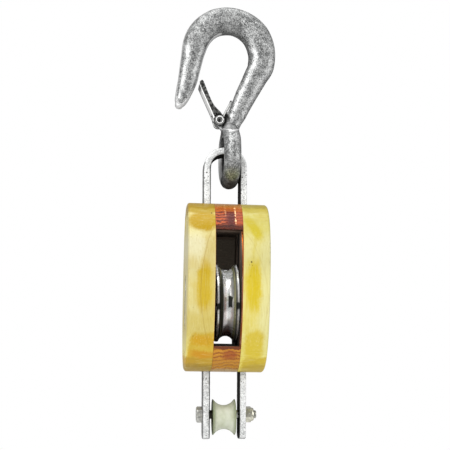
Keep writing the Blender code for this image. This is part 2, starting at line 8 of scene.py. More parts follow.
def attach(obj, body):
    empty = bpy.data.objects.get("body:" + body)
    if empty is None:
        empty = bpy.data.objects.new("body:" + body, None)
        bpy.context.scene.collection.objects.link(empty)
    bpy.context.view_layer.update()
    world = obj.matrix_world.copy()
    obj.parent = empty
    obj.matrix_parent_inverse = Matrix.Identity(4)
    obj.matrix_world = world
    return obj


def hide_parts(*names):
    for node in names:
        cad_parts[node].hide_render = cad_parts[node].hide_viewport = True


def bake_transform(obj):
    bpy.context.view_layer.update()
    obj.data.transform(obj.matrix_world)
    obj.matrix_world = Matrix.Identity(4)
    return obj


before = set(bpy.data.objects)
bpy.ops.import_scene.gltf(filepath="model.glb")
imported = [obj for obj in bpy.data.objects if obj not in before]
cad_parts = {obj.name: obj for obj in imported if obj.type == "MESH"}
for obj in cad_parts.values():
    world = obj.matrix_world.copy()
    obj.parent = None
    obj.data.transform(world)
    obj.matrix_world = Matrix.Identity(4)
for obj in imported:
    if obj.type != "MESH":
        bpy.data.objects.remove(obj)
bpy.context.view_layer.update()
MM = 0.001
DATUM = 245.7                       # the axle lies this far below the part's origin
DOWN = Vector((0, 0, -DATUM * MM))
BLOCK = bpy.data.collections.new("block_looks")
bpy.context.scene.collection.children.link(BLOCK)


# ---------------------------------------------------------------------------
# mesh helpers (everything is drawn in millimetres, in the part's own frame)
# ---------------------------------------------------------------------------
def new_object(name, mesh, mat=None, smooth=None):
    obj = bpy.data.objects.new(name, mesh)
    BLOCK.objects.link(obj)
    obj.location = DOWN
    if mat:
        mesh.materials.append(mat)
    if smooth is not None:
        mesh.shade_smooth()
        if smooth < 180:
            mesh.set_sharp_from_angle(angle=math.radians(smooth))
    return obj


def from_arrays(name, verts, faces, mat=None, smooth=None):
    me = bpy.data.meshes.new(name)
    me.from_pydata([tuple(np.asarray(v) * MM) for v in verts], [], faces)
    me.update()
    bm = bmesh.new()
    bm.from_mesh(me)
    bmesh.ops.recalc_face_normals(bm, faces=bm.faces)
    bm.to_mesh(me)
    bm.free()
    return new_object(name, me, mat, smooth)


def tube(name, rings, closed=False, mat=None, smooth=None, caps=True):
    """Joins equal rings of points into a skin."""
    n = len(rings[0])
    verts = [p for r in rings for p in r]
    faces = []
    count = len(rings)
    for i in range(count if closed else count - 1):
        for j in range(n):
            a, b = i * n + j, i * n + (j + 1) % n
            c, d = ((i + 1) % count) * n + (j + 1) % n, ((i + 1) % count) * n + j
            faces.append((a, b, c, d))
    if caps and not closed:
        faces.append(tuple(range(n))[::-1])
        faces.append(tuple(range((count - 1) * n, count * n)))
    return from_arrays(name, verts, faces, mat, smooth)


def lathe(name, profile, centre, axis="X", segs=96, mat=None, smooth=35, closed=True, phase=0.0):
    """Turns (radius, height) pairs round an axis; a closed profile gives a ring."""
    rings = []
    for i in range(segs):
        a = 2 * math.pi * i / segs + phase
        c, s = math.cos(a), math.sin(a)
        ring = []
        for r, h in profile:
            if axis == "X":
                p = (h, r * c, r * s)
            elif axis == "Y":
                p = (r * c, h, r * s)
            else:
                p = (r * c, r * s, h)
            ring.append(np.array(p) + np.array(centre))
        rings.append(ring)
    n = len(profile)
    verts = [p for r in rings for p in r]
    faces = []
    for i in range(segs):
        k = (i + 1) % segs
        for j in range(n if closed else n - 1):
            m = (j + 1) % n
            faces.append((i * n + j, i * n + m, k * n + m, k * n + j))
    obj = from_arrays(name, verts, faces, mat, None)
    if not closed:
        bm = bmesh.new()
        bm.from_mesh(obj.data)
        bmesh.ops.remove_doubles(bm, verts=bm.verts, dist=1e-7)
        bmesh.ops.recalc_face_normals(bm, faces=bm.faces)
        bm.to_mesh(obj.data)
        bm.free()
    obj.data.shade_smooth()
    obj.data.set_sharp_from_angle(angle=math.radians(smooth))
    return obj


def apply_all(obj):
    """Bakes the modifiers into the mesh."""
    dg = bpy.context.evaluated_depsgraph_get()
    bpy.context.view_layer.update()
    me = bpy.data.meshes.new_from_object(obj.evaluated_get(dg))
    old = obj.data
    obj.modifiers.clear()
    obj.data = me
    me.name = old.name
    if old.users == 0:
        bpy.data.meshes.remove(old)
    return obj


def remesh(obj, size_mm, smooth_steps=0, factor=0.5):
    m = obj.modifiers.new("remesh", "REMESH")
    m.mode = "VOXEL"
    m.voxel_size = size_mm * MM
    m.use_smooth_shade = True
    if smooth_steps:
        s = obj.modifiers.new("smooth", "SMOOTH")
        s.iterations = smooth_steps
        s.factor = factor
    return apply_all(obj)


def coords(obj):
    co = np.empty(len(obj.data.vertices) * 3)
    obj.data.vertices.foreach_get("co", co)
    return co.reshape(-1, 3) / MM


def normals(obj):
    co = np.empty(len(obj.data.vertices) * 3)
    obj.data.vertex_normals.foreach_get("vector", co)
    return co.reshape(-1, 3)


def set_coords(obj, co):
    obj.data.vertices.foreach_set("co", (co * MM).ravel())
    obj.data.update()


def paint(obj, name, values):
    a = obj.data.attributes.new(name, "FLOAT", "POINT")
    a.data.foreach_set("value", np.asarray(values, np.float32))


def lump(co, scale, seed):
    """Smooth noise at each point, about -1 to 1."""
    return np.array([noise.noise(Vector((p[0] * scale + seed, p[1] * scale, p[2] * scale))) for p in co])


def smoothstep(a, b, x):
    t = np.clip((x - a) / (b - a), 0, 1)
    return t * t * (3 - 2 * t)


def arc(cx, cy, r, a0, a1, n):
    return [(cx + r * math.cos(math.radians(a0 + (a1 - a0) * i / n)),
             cy + r * math.sin(math.radians(a0 + (a1 - a0) * i / n))) for i in range(n + 1)]


def boolean(obj, other, how="DIFFERENCE"):
    m = obj.modifiers.new("b", "BOOLEAN")
    m.operation = how
    m.object = other
    m.solver = "EXACT"
    apply_all(obj)
    bpy.data.objects.remove(other)
    return obj


def bevel(obj, width, segs=2, angle=40):
    b = obj.modifiers.new("bevel", "BEVEL")
    b.width = width * MM
    b.segments = segs
    b.limit_method = "ANGLE"
    b.angle_limit = math.radians(angle)
    b.harden_normals = False
    return apply_all(obj)


# ---------------------------------------------------------------------------
# materials
# ---------------------------------------------------------------------------
def srgb(r, g, b):
    def f(c):
        c /= 255
        return c / 12.92 if c <= 0.04045 else ((c + 0.055) / 1.055) ** 2.4
    return (f(r), f(g), f(b), 1)


class Nodes:
    """A few words for building node trees."""

    def __init__(self, name):
        self.m = bpy.data.materials.new(name)
        self.m.use_nodes = True
        self.t = self.m.node_tree
        self.b = self.t.nodes["Principled BSDF"]
        self.tc = self.t.nodes.new("ShaderNodeTexCoord").outputs["Object"]

    def n(self, kind, **props):
        node = self.t.nodes.new("ShaderNode" + kind)
        for k, v in props.items():
            setattr(node, k, v)
        return node

    def put(self, socket, value):
        if hasattr(value, "is_output"):
            self.t.links.new(value, socket)
        else:
            socket.default_value = value

    def scaled(self, x, y, z, rot=(0, 0, 0), loc=(0, 0, 0)):
        m = self.n("Mapping")
        self.t.links.new(self.tc, m.inputs["Vector"])
        m.inputs["Scale"].default_value = (x, y, z)
        m.inputs["Rotation"].default_value = [math.radians(a) for a in rot]
        m.inputs["Location"].default_value = loc
        return m.outputs["Vector"]

    def noise(self, vec, scale=1.0, detail=3.0, rough=0.55, distort=0.0):
        k = self.n("TexNoise")
        self.put(k.inputs["Vector"], vec)
        self.put(k.inputs["Scale"], scale)
        self.put(k.inputs["Detail"], detail)
        self.put(k.inputs["Roughness"], rough)
        self.put(k.inputs["Distortion"], distort)
        return k.outputs["Fac"]

    def voronoi(self, vec, scale, feature="F1", random=1.0):
        k = self.n("TexVoronoi", feature=feature)
        self.put(k.inputs["Vector"], vec)
        self.put(k.inputs["Scale"], scale)
        self.put(k.inputs["Randomness"], random)
        return k

    def math(self, op, a, b=0.0, c=None, clamp=False):
        k = self.n("Math", operation=op, use_clamp=clamp)
        self.put(k.inputs[0], a)
        self.put(k.inputs[1], b)
        if c is not None:
            self.put(k.inputs[2], c)
        return k.outputs[0]

    def step(self, x, lo, hi, a=0.0, b=1.0, kind="SMOOTHSTEP"):
        k = self.n("MapRange", interpolation_type=kind)
        self.put(k.inputs["Value"], x)
        for s, v in zip(("From Min", "From Max", "To Min", "To Max"), (lo, hi, a, b)):
            self.put(k.inputs[s], v)
        return k.outputs[0]

    def ramp(self, x, stops, kind="LINEAR"):
        k = self.n("ValToRGB")
        self.put(k.inputs[0], x)
        r = k.color_ramp
        r.interpolation = kind
        while len(r.elements) > 1:
            r.elements.remove(r.elements[-1])
        r.elements[0].position = stops[0][0]
        r.elements[0].color = stops[0][1]
        for p, c in stops[1:]:
            e = r.elements.new(p)
            e.color = c
        return k.outputs[0]

    def mix(self, f, a, b, how="MIX"):
        k = self.n("Mix", data_type="RGBA", blend_type=how)
        self.put(k.inputs[0], f)
        self.put(k.inputs[6], a)
        self.put(k.inputs[7], b)
        return k.outputs[2]

    def attr(self, name):
        k = self.n("Attribute", attribute_name=name)
        return k.outputs["Fac"]

    def xyz(self, vec=None):
        k = self.n("SeparateXYZ")
        self.put(k.inputs[0], vec or self.tc)
        return k.outputs

    def bump(self, height, strength=0.3, dist=0.0005, normal=None):
        k = self.n("Bump")
        self.put(k.inputs["Height"], height)
        k.inputs["Strength"].default_value = strength
        k.inputs["Distance"].default_value = dist
        if normal:
            self.put(k.inputs["Normal"], normal)
        return k.outputs[0]

    def done(self, color=None, rough=None, metal=None, normal=None, **extra):
        for key, v in (("Base Color", color), ("Roughness", rough), ("Metallic", metal), ("Normal", normal)):
            if v is not None:
                self.put(self.b.inputs[key], v)
        for k, v in extra.items():
            self.put(self.b.inputs[k.replace("_", " ")], v)
        return self.m


def galvanised(name, light=(178, 179, 178), dark=(118, 119, 119), metal=0.75, paint_dark=False, grain=1.0, rim=0.8,
               blotch=0.30):
    n = Nodes(name)
    v = n.scaled(1000, 1000, 1000)                       # noise input in millimetres
    big = n.noise(v, 0.10, 4, 0.6)
    mid = n.noise(v, 0.38, 3, 0.6)
    fine = n.noise(v, 1.0, 2, 0.6)
    spangle = n.voronoi(v, 0.30 * grain).outputs["Color"]
    sp = n.math("MULTIPLY", n.xyz(spangle)[0], 1.0)
    tone = n.math("ADD", n.math("MULTIPLY", big, blotch), n.math("MULTIPLY", fine, 0.58))
    tone = n.math("ADD", tone, n.math("MULTIPLY", mid, 0.14))
    tone = n.math("ADD", tone, n.math("MULTIPLY", sp, 0.08))
    f = n.step(tone, 0.34 + 0.2 * blotch, 0.58 + 0.27 * blotch)
    col = n.mix(f, srgb(*dark), srgb(*light))
    # pits and near-black specks
    pit = n.voronoi(v, 0.36).outputs["Distance"]
    gate = n.step(n.noise(v, 0.05, 2), 0.44, 0.56)
    spot = n.math("MULTIPLY", n.step(pit, 0.12, 0.24, 1.0, 0.0), gate)
    col = n.mix(n.math("MULTIPLY", spot, 0.85), col, srgb(34, 34, 32))
    white = n.step(n.noise(v, 0.75, 3, 0.7), 0.60, 0.72)
    col = n.mix(n.math("MULTIPLY", white, 0.40), col, srgb(230, 231, 230))
    # painted shade: a dark edge where the surface turns away from view
    edge = n.n("LayerWeight")
    edge.inputs["Blend"].default_value = 0.5
    outline = n.math("MULTIPLY", n.step(edge.outputs["Facing"], 0.60, 0.90), rim)
    if paint_dark:
        outline = n.math("MULTIPLY", outline, n.math("SUBTRACT", 1.0, n.attr("shine")))
    # painted light from three attributes: painted shade darkens towards near black and dulls the metal, painted
    # highlights go to near white, and a painted greenish reflection of the wood
    if paint_dark:
        painted_shade = n.attr("painted_shade")
        col = n.mix(painted_shade, col, n.mix(f, srgb(14, 14, 14), srgb(40, 40, 39)))
        col = n.mix(n.attr("shine"), col, srgb(240, 240, 240))
        col = n.mix(n.attr("painted_green_reflection"), col, n.mix(f, srgb(70, 76, 44), srgb(158, 164, 120)))
    col = n.mix(outline, col, srgb(34, 34, 33))
    h = n.math("ADD", n.math("MULTIPLY", fine, 0.6), n.math("MULTIPLY", spot, -1.2))
    nor = n.bump(h, 0.60, 0.0005, n.bump(mid, 0.35, 0.0012))
    rough = n.step(fine, 0.3, 0.7, 0.34, 0.56)
    if paint_dark:
        rough = n.math("ADD", rough, n.math("MULTIPLY", painted_shade, 0.25))
    keep = n.math("SUBTRACT", 1.0, outline)
    if paint_dark:
        keep = n.math("MULTIPLY", keep, n.math("SUBTRACT", 1.0, painted_shade))
    return n.done(col, rough, n.math("MULTIPLY", keep, metal), nor, Specular_IOR_Level=n.math("MULTIPLY", keep, 0.5))


def zinc(name, tint=(205, 206, 200), rough=0.2, metal=1.0, stained=0.3, scratch=(60, 900, 900)):
    n = Nodes(name)
    v = n.scaled(1000, 1000, 1000)
    w = n.scaled(*scratch)
    a = n.noise(v, 0.35, 4, 0.6)
    s = n.noise(w, 1.0, 3, 0.7)
    col = n.mix(n.step(a, 0.35, 0.7), srgb(*[int(c * 0.80) for c in tint]), srgb(*tint))
    stain = n.step(n.noise(v, 0.16, 3, 0.6), 0.52, 0.68)
    col = n.mix(n.math("MULTIPLY", stain, stained), col, srgb(168, 164, 110))
    h = n.math("ADD", n.math("MULTIPLY", s, 0.5), n.math("MULTIPLY", a, 0.5))
    return n.done(col, n.step(a, 0.3, 0.7, rough * 0.8, rough * 1.5), metal, n.bump(h, 0.12, 0.0002))


GALV = galvanised("galvanised_forging", light=(190, 191, 190), dark=(86, 87, 87), paint_dark=True, blotch=0.14, rim=0.95)
GALV_BAR = galvanised("galvanised_bar", light=(232, 233, 232), dark=(160, 161, 160), metal=0.45, paint_dark=True, grain=1.6, rim=0.75)
ZINC = zinc("zinc_hardware")
PIN = zinc("pin_steel", (190, 190, 188), 0.28)


def finish_now():
    bpy.context.view_layer.update()


# ---------------------------------------------------------------------------
# studio: pale floor, white surround, soft boxes, camera
# ---------------------------------------------------------------------------
scene = bpy.context.scene
scene.view_settings.view_transform = "Standard"
world = bpy.data.worlds.new("studio")
scene.world = world
world.use_nodes = True
wt = world.node_tree
bg = wt.nodes["Background"]
bg.inputs[0].default_value = (1, 1, 1, 1)
bg.inputs[1].default_value = 0.55
seen = wt.nodes.new("ShaderNodeBackground")
seen.inputs[0].default_value = (1, 1, 1, 1)
seen.inputs[1].default_value = 1.0
path = wt.nodes.new("ShaderNodeLightPath")
mixer = wt.nodes.new("ShaderNodeMixShader")
wt.links.new(path.outputs["Is Camera Ray"], mixer.inputs[0])
wt.links.new(bg.outputs[0], mixer.inputs[1])
wt.links.new(seen.outputs[0], mixer.inputs[2])
wt.links.new(mixer.outputs[0], wt.nodes["World Output"].inputs[0])


def softbox(name, where, at, size, power, colour=(1, 1, 1)):
    d = bpy.data.lights.new(name, "AREA")
    d.shape = "RECTANGLE"
    d.size, d.size_y = size
    d.energy = power
    d.color = colour
    o = bpy.data.objects.new(name, d)
    scene.collection.objects.link(o)
    o.location = Vector(where) + DOWN
    o.rotation_euler = (Vector(at) - Vector(where)).to_track_quat("-Z", "Y").to_euler()
    o.visible_camera = False
    return o


softbox("key_left", (-0.55, -0.75, 0.45), (0, 0, 0.05), (0.35, 1.0), 9.0)
softbox("fill_right", (0.75, -0.55, 0.20), (0, 0, 0.05), (0.40, 1.0), 5.0)
softbox("top", (0.0, -0.15, 1.0), (0, 0, 0.1), (0.8, 0.8), 6.0)

inside = softbox("slot_glow", (0.0, -0.038, 0.058), (0.0, -0.006, 0.028), (0.016, 0.005), 0.020)

floor_me = bpy.data.meshes.new("studio_floor")
floor_me.from_pydata([(-1.5, -1.5, -0.6), (1.5, -1.5, -0.6), (1.5, 1.5, -0.6), (-1.5, 1.5, -0.6)], [], [(0, 1, 2, 3)])
floor = bpy.data.objects.new("studio_floor", floor_me)
floor.location = DOWN
scene.collection.objects.link(floor)
fm = Nodes("pale_floor")
floor_me.materials.append(fm.done(fm.mix(fm.noise(fm.scaled(3, 3, 3), 1, 2), srgb(240, 240, 240), srgb(246, 246, 246)), 0.7, 0.0))

# camera: level, with its image plane upright; the shift keeps uprights parallel
DIST = 0.80
AZ = -5.0
PX = 0.914                       # millimetres per pixel at the block's middle plane
cam_data = bpy.data.cameras.new("camera")
cam_data.sensor_width = 36
cam_data.lens = 36 * DIST / (450 * PX * MM)
cam = bpy.data.objects.new("camera", cam_data)
scene.collection.objects.link(cam)
scene.camera = cam
home = (DIST * math.sin(math.radians(AZ)), -DIST * math.cos(math.radians(AZ)), -0.0134 - DATUM * MM)
cam.location = home
cam.rotation_mode = "QUATERNION"
cam.rotation_quaternion = (Matrix.Rotation(math.radians(AZ), 3, "Z") @ Matrix.Rotation(math.radians(90), 3, "X")
                           @ Matrix.Rotation(math.radians(0.25), 3, "Z")).to_quaternion()
cam_data.shift_x = 0.00244
# the shift belongs to this one standpoint; from anywhere else the lens is centred
fc = cam_data.driver_add("shift_y")
drv = fc.driver
for var, kind in (("cx", "LOC_X"), ("cz", "LOC_Z")):
    v_ = drv.variables.new()
    v_.name = var
    v_.type = "TRANSFORMS"
    v_.targets[0].id = cam
    v_.targets[0].transform_type = kind
    v_.targets[0].transform_space = "WORLD_SPACE"
drv.type = "SCRIPTED"
drv.expression = f"0.2067 if abs(cx - {home[0]:.6f}) + abs(cz - {home[2]:.6f}) < 0.002 else 0.0"


# ---------------------------------------------------------------------------
# hook: one forging, with its eye and the latch's lug
# ---------------------------------------------------------------------------
STATIONS = [
    (-41.8, 180.3, 7.8, 7.2), (-40.5, 183.4, 11.2, 9.8), (-37.2, 192.9, 15.0, 13.0), (-34.5, 201.5, 17.4, 15.0),
    (-33.0, 208.6, 18.4, 16.0), (-29.9, 224.4, 20.4, 17.4), (-26.9, 237.1, 22.9, 18.4), (-22.5, 245.3, 23.6, 18.9),
    (-16.4, 251.5, 23.6, 19.2), (-8.7, 255.9, 23.8, 19.4), (0.4, 257.6, 24.2, 19.6), (9.9, 256.7, 24.2, 19.6),
    (18.4, 253.3, 24.8, 19.6), (25.4, 247.9, 25.4, 19.6), (30.4, 240.5, 25.6, 19.4), (33.2, 231.6, 25.2, 19.0),
    (33.7, 223.0, 24.6, 18.6), (32.3, 215.5, 23.8, 18.2), (28.9, 208.8, 22.0, 17.6), (23.2, 197.9, 20.4, 16.6),
    (17.4, 186.2, 18.8, 15.4), (12.2, 174.8, 17.0, 14.2), (7.6, 165.5, 15.2, 13.0), (5.0, 157.6, 14.2, 13.2),
]
EYE = np.array([4.5, 0, 134.3])
EYE_MAJOR, EYE_MINOR = 22.2, 7.7
PIVOT = np.array([-5.4, 0, 165.6])
TILT = math.radians(90 + 24.6)
U = np.array([math.cos(TILT), 0, math.sin(TILT)])       # along the latch from its pivot
V = np.array([math.sin(TILT), 0, -math.cos(TILT)])      # towards the shank


def catmull(p, t):
    a, b, c, d = (np.array(q, float) for q in p)
    return 0.5 * (2 * b + (c - a) * t + (2 * a - 5 * b + 4 * c - d) * t * t + (3 * b - a - 3 * c + d) * t ** 3)


def resample(table, per):
    out = []
    for i in range(len(table) - 1):
        p = [table[max(0, min(len(table) - 1, i + k))] for k in (-1, 0, 1, 2)]
        out += [catmull(p, j / per) for j in range(per)]
    out.append(np.array(table[-1], float))
    return np.array(out)


line = resample(STATIONS, 8)
tang = np.gradient(line[:, :2], axis=0)
tang /= np.linalg.norm(tang, axis=1)[:, None]


def hook_ring(i, shrink=1.0, back=0.0, n=48, power=2.35):
    x, z, w, t = line[i]
    tx, tz = tang[i]
    ring = []
    for j in range(n):
        a = 2 * math.pi * (j + 0.5) / n
        ca, sa = math.cos(a), math.sin(a)
        p = w / 2 * shrink * math.copysign(abs(ca) ** (2 / power), ca)
        q = t / 2 * shrink * math.copysign(abs(sa) ** (2 / power), sa)
        ring.append(np.array([x - tx * back - tz * p, q, z - tz * back + tx * p]))
    return ring


rings = []
r0 = line[0][2] / 2
for k in (0.15, 0.45, 0.72, 0.92):
    rings.append(hook_ring(0, k, r0 * math.sqrt(1 - k * k)))
rings += [hook_ring(i) for i in range(len(line))]
hook = tube("hook_forging", rings)
circle = [(EYE_MAJOR + EYE_MINOR * math.cos(2 * math.pi * i / 40) * 0.99, EYE_MINOR * math.sin(2 * math.pi * i / 40))
          for i in range(40)]
eye = lathe("eye_form", circle, EYE, "X", 110)
neck = []
for t in np.linspace(0, 1, 12):                       # the skirt that runs from the shank down on to the eye
    x, z = 5.8 + (4.7 - 5.8) * t, 163 + (150.5 - 163) * t
    w, q = 14.8 + (15.2 - 14.8) * t, 13.0 + (19.5 - 13.0) * t * t
    neck.append([np.array([x + w / 2 * math.copysign(abs(math.cos(a)) ** 0.8, math.cos(a)),
                           q / 2 * math.copysign(abs(math.sin(a)) ** 0.8, math.sin(a)), z])
                 for a in [2 * math.pi * (j + 0.5) / 40 for j in range(40)]])
neck = tube("neck_form", neck)


def slab(name, outline, half, frame_x, frame_y, origin, mat=None):
    """A flat outline made solid; its plane is spanned by frame_x and frame_y."""
    fx, fy = np.array(frame_x, float), np.array(frame_y, float)
    fz = np.cross(fx, fy)
    n = len(outline)
    verts = [np.array(origin) + fx * x + fy * y + fz * s * half for s in (-1, 1) for x, y in outline]
    faces = [tuple(range(n))[::-1], tuple(range(n, 2 * n))]
    faces += [(i, (i + 1) % n, n + (i + 1) % n, n + i) for i in range(n)]
    return from_arrays(name, verts, faces, mat)


lug = slab("lug_form", [(p[0], p[1]) for p in arc(PIVOT[0], PIVOT[2], 4.5, 100, 205, 24)]
           + [(-8.0, 162.6), (-5.4, 160.1), (-3.2, 157.8), (-2.0, 154.6), (-1.0, 151.0), (6.0, 151.0), (8.6, 157.0), (11.7, 176.0),
              (6.7, 176.3), (2.2, 174.2)],
           3.0, (1, 0, 0), (0, 0, 1), (0, 0, 0))
for piece in (eye, neck, lug):
    m = hook.modifiers.new("join", "BOOLEAN")
    m.operation = "UNION"
    m.object = piece
    m.solver = "EXACT"
apply_all(hook)
for piece in (eye, neck, lug):
    bpy.data.objects.remove(piece)
remesh(hook, 0.5, 7, 0.5)
co, no = coords(hook), normals(hook)
step_d = lump(co, 0.11, 3.0) * 0.16 + lump(co, 0.42, 9.0) * 0.07
# the raised edge where the shank's forging stops and the eye begins
ridge_z = 153.3 + 0.065 * (co[:, 0] - 4.8) ** 2
ridge = np.exp(-((co[:, 2] - ridge_z) / 0.8) ** 2) * (np.abs(co[:, 0] - 5.0) < 9) * smoothstep(-1.0, -4.0, co[:, 1])
groove = np.exp(-((co[:, 2] - ridge_z + 1.9) / 0.9) ** 2) * (np.abs(co[:, 0] - 5.0) < 7) * smoothstep(-1.0, -4.0, co[:, 1])
co += no * (step_d + ridge * 0.5 - groove * 0.3)[:, None]
co[:, 0] -= 0.038 * co[:, 1] * smoothstep(158, 148, co[:, 2])     # the eye is forged a little askew
set_coords(hook, co)
hook.data.materials.append(GALV)
hole = lathe("hole", [(2.45, -12), (2.45, 12)], PIVOT, "Y", 40, closed=False)
hook.data.shade_smooth()
# painted light and shade: light and dark bands follow which way each bit of skin faces round the bar
front = smoothstep(-13, -18, co[:, 1])
# painted shade: darker towards the eye's bottom, on faces turned down and inside the eye
painted_shade = smoothstep(119, 107, co[:, 2]) * 0.80
painted_shade = np.maximum(painted_shade, smoothstep(0.2, -0.8, no[:, 2]) * 0.25)
rel = co[:, 1:] - EYE[1:]
inside = (co[:, 2] < 158) * smoothstep(-0.15, -0.6, np.einsum("ij,ij->i", rel, no[:, 1:]) / np.linalg.norm(rel, axis=1))
painted_shade = np.maximum(painted_shade, inside * 0.85)
# painted shade on the rear limb where it faces the view, painted light on its left flank
behind = (co[:, 1] > 2) * smoothstep(143, 139, co[:, 2])
painted_shade = np.maximum(painted_shade, behind * smoothstep(-0.80, -0.55, no[:, 0]) * 0.98)
flank_lit = behind * (co[:, 2] > 110) * smoothstep(-0.55, -0.82, no[:, 0])
# painted shade: the bar is darkest where it faces into the throat
throat = np.stack([2.0 - co[:, 0], 222.0 - co[:, 2]], 1)
throat /= np.linalg.norm(throat, axis=1)[:, None] + 1e-6
facing = throat[:, 0] * no[:, 0] + throat[:, 1] * no[:, 2]
painted_shade = np.maximum(painted_shade, (co[:, 2] > 176) * smoothstep(0.55, 0.97, facing) * 0.62)
# painted reflections: bright and dark lanes run along the bar
limb = smoothstep(240, 222, co[:, 2]) + smoothstep(236, 250, co[:, 2]) * 0.25
lane = (no[:, 0] - no[:, 2] * smoothstep(222, 244, co[:, 2])) * np.clip(limb, 0, 1) + lump(co, 0.055, 4.0) * 0.22 + lump(co, 0.25, 7.0) * 0.12
fade = (co[:, 1] < 0) * (1 - 0.75 * ((co[:, 0] > 14) & (co[:, 2] > 234))) * np.where(co[:, 2] < 152, 0.55, 1.0)
painted_dark_lane = np.exp(-((lane - 0.06) / 0.16) ** 2) * 0.36 * fade
flicker = 0.65 + 0.9 * lump(co, 0.16, 11.0) + 0.5 * lump(co, 0.7, 12.0)
lit = (np.exp(-((lane + 0.40) / 0.19) ** 2) * 0.34 * np.clip(flicker, 0.15, 1.1) + np.exp(-((lane - 0.50) / 0.20) ** 2) * 0.12) * fade
lit *= smoothstep(244, 232, co[:, 2]) * smoothstep(150, 156, co[:, 2])
painted_shade = np.maximum(painted_shade, painted_dark_lane)
# painted shade in the cranny between the latch's ear and the shank
r_ear = np.hypot(co[:, 0] - PIVOT[0], co[:, 2] - PIVOT[2])
cranny = (co[:, 2] > 159.0) * (co[:, 2] < 179) * (co[:, 0] > PIVOT[0] + 3) * (co[:, 1] > -6.6) * smoothstep(11.5, 9.0, r_ear)
cranny = cranny * smoothstep(0.2, -0.3, no[:, 0] + 0.3 * no[:, 1])
painted_shade = np.maximum(painted_shade, cranny * 0.95)
# painted highlights: the lug's front round the ear, and the shank's front below the lug, where the collar also takes
# back some painted shade
sole = (co[:, 1] < 0) * (np.abs(co[:, 1]) < 4.2) * smoothstep(5.0, 6.0, r_ear) * (co[:, 0] < PIVOT[0] + 2)
collar = (np.exp(-((co[:, 2] - 160.0) / 4.5) ** 2) * np.exp(-((co[:, 0] - 0.6 - 0.25 * (co[:, 2] - 156)) / 2.6) ** 2) * (co[:, 1] < -4)) * 0.5
painted_shade = painted_shade * (1 - collar * 1.6)
# painted shade goes into one attribute; the painted highlights of the lanes, the rear flank, the collar, the ridge line
# and the lug front into shine
paint(hook, "painted_shade", np.clip(painted_shade, 0, 0.95))
paint(hook, "shine", np.clip(np.maximum(np.maximum(lit * (painted_shade < 0.5), np.maximum(flank_lit * 0.6, collar)), np.maximum(ridge * 0.75, sole * 0.5)), 0, 1))
# painted greenish reflection of the wood on the eye's lower front
painted_green_reflection = smoothstep(123, 113, co[:, 2]) * smoothstep(104.5, 109, co[:, 2]) * smoothstep(-15, -20, co[:, 1])
paint(hook, "painted_green_reflection", np.clip(painted_green_reflection * smoothstep(0.5, -0.2, no[:, 2] + 0.35) * 0.6, 0, 1))
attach(hook, "hook")
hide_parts("hook")
bpy.data.objects.remove(hole)

# latch rivet: hollow ends turned over
rh = 8.8
prof = [(0.0, rh - 2.2), (1.9, rh - 2.2), (2.15, rh + 0.6), (2.35, rh + 1.15), (2.95, rh + 1.3), (3.55, rh + 0.95), (3.88, rh + 0.2),
        (3.8, rh), (2.0, rh)]
prof = prof + [(r, -h) for r, h in prof[::-1]]
n = Nodes("rivet_face")
rx, _, rz = n.xyz()
rr = n.math("SQRT", n.math("ADD", n.math("POWER", n.math("ABSOLUTE", n.math("ADD", n.math("MULTIPLY", rx, 1000.0), -float(PIVOT[0]))), 2.0),
                           n.math("POWER", n.math("ABSOLUTE", n.math("ADD", n.math("MULTIPLY", rz, 1000.0), -float(PIVOT[2]))), 2.0)))
worn = n.noise(n.scaled(1000, 1000, 1000), 0.7, 3, 0.6)
col = n.mix(n.step(worn, 0.35, 0.6), srgb(196, 196, 194), srgb(246, 246, 245))
# painted shade: greyer inside the turned lip, a dark ring on it, black down in the hollow and a dark rim round the head
col = n.mix(n.step(rr, 2.6, 2.3), col, srgb(150, 150, 148))
col = n.mix(n.math("MULTIPLY", n.step(rr, 2.15, 2.35), n.step(rr, 2.8, 2.6)), col, srgb(40, 40, 39))
col = n.mix(n.step(rr, 1.5, 1.2), col, srgb(12, 12, 11))
col = n.mix(n.step(rr, 3.30, 3.55), col, srgb(20, 20, 19))
RIVET = n.done(col, 0.35, n.math("MULTIPLY", n.step(rr, 2.0, 2.3), 0.35), n.bump(worn, 0.3, 0.0003))
rivet = lathe("latch_rivet_turned", prof, PIVOT, "Y", 48, RIVET, 40, closed=False)
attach(rivet, "hook")
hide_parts("latch_rivet")

# ---------------------------------------------------------------------------
# latch
# ---------------------------------------------------------------------------
WEB = -3.9
LEN = 38.6
n = Nodes("latch_sheet")
v = n.scaled(1000, 1000, 1000)
mott = n.noise(v, 0.75, 3, 0.7)
px_, py_, pz_ = n.xyz()
# place across and along the latch, in millimetres from its pivot
across = n.math("ADD", n.math("MULTIPLY", px_, 1000 * V[0]), n.math("MULTIPLY", pz_, 1000 * V[2]))
across = n.math("SUBTRACT", across, float(PIVOT @ V))
along = n.math("ADD", n.math("MULTIPLY", px_, 1000 * U[0]), n.math("MULTIPLY", pz_, 1000 * U[2]))
along = n.math("SUBTRACT", along, float(PIVOT @ U))
radius = n.math("SQRT", n.math("ADD", n.math("MULTIPLY", across, across), n.math("MULTIPLY", along, along)))
# painted shade: the flanges are dark all over, mottled
col = n.mix(n.step(mott, 0.45, 0.62), srgb(10, 10, 10), srgb(108, 108, 105))
# the ear: painted light round the rivet, a painted shadow ring close round it and a painted dark rim
ring_ = n.math("MULTIPLY", n.step(radius, 4.5, 4.2, 0.0, 1.0), n.step(mott, 0.34, 0.50, 0.55, 1.0))
col = n.mix(ring_, col, srgb(176, 176, 173))
col = n.mix(n.step(radius, 3.9, 3.7), col, srgb(30, 30, 29))
col = n.mix(n.math("MULTIPLY", n.step(radius, 4.2, 4.5), n.step(radius, 6.4, 5.9, 0.0, 1.0)), col, srgb(16, 16, 15))
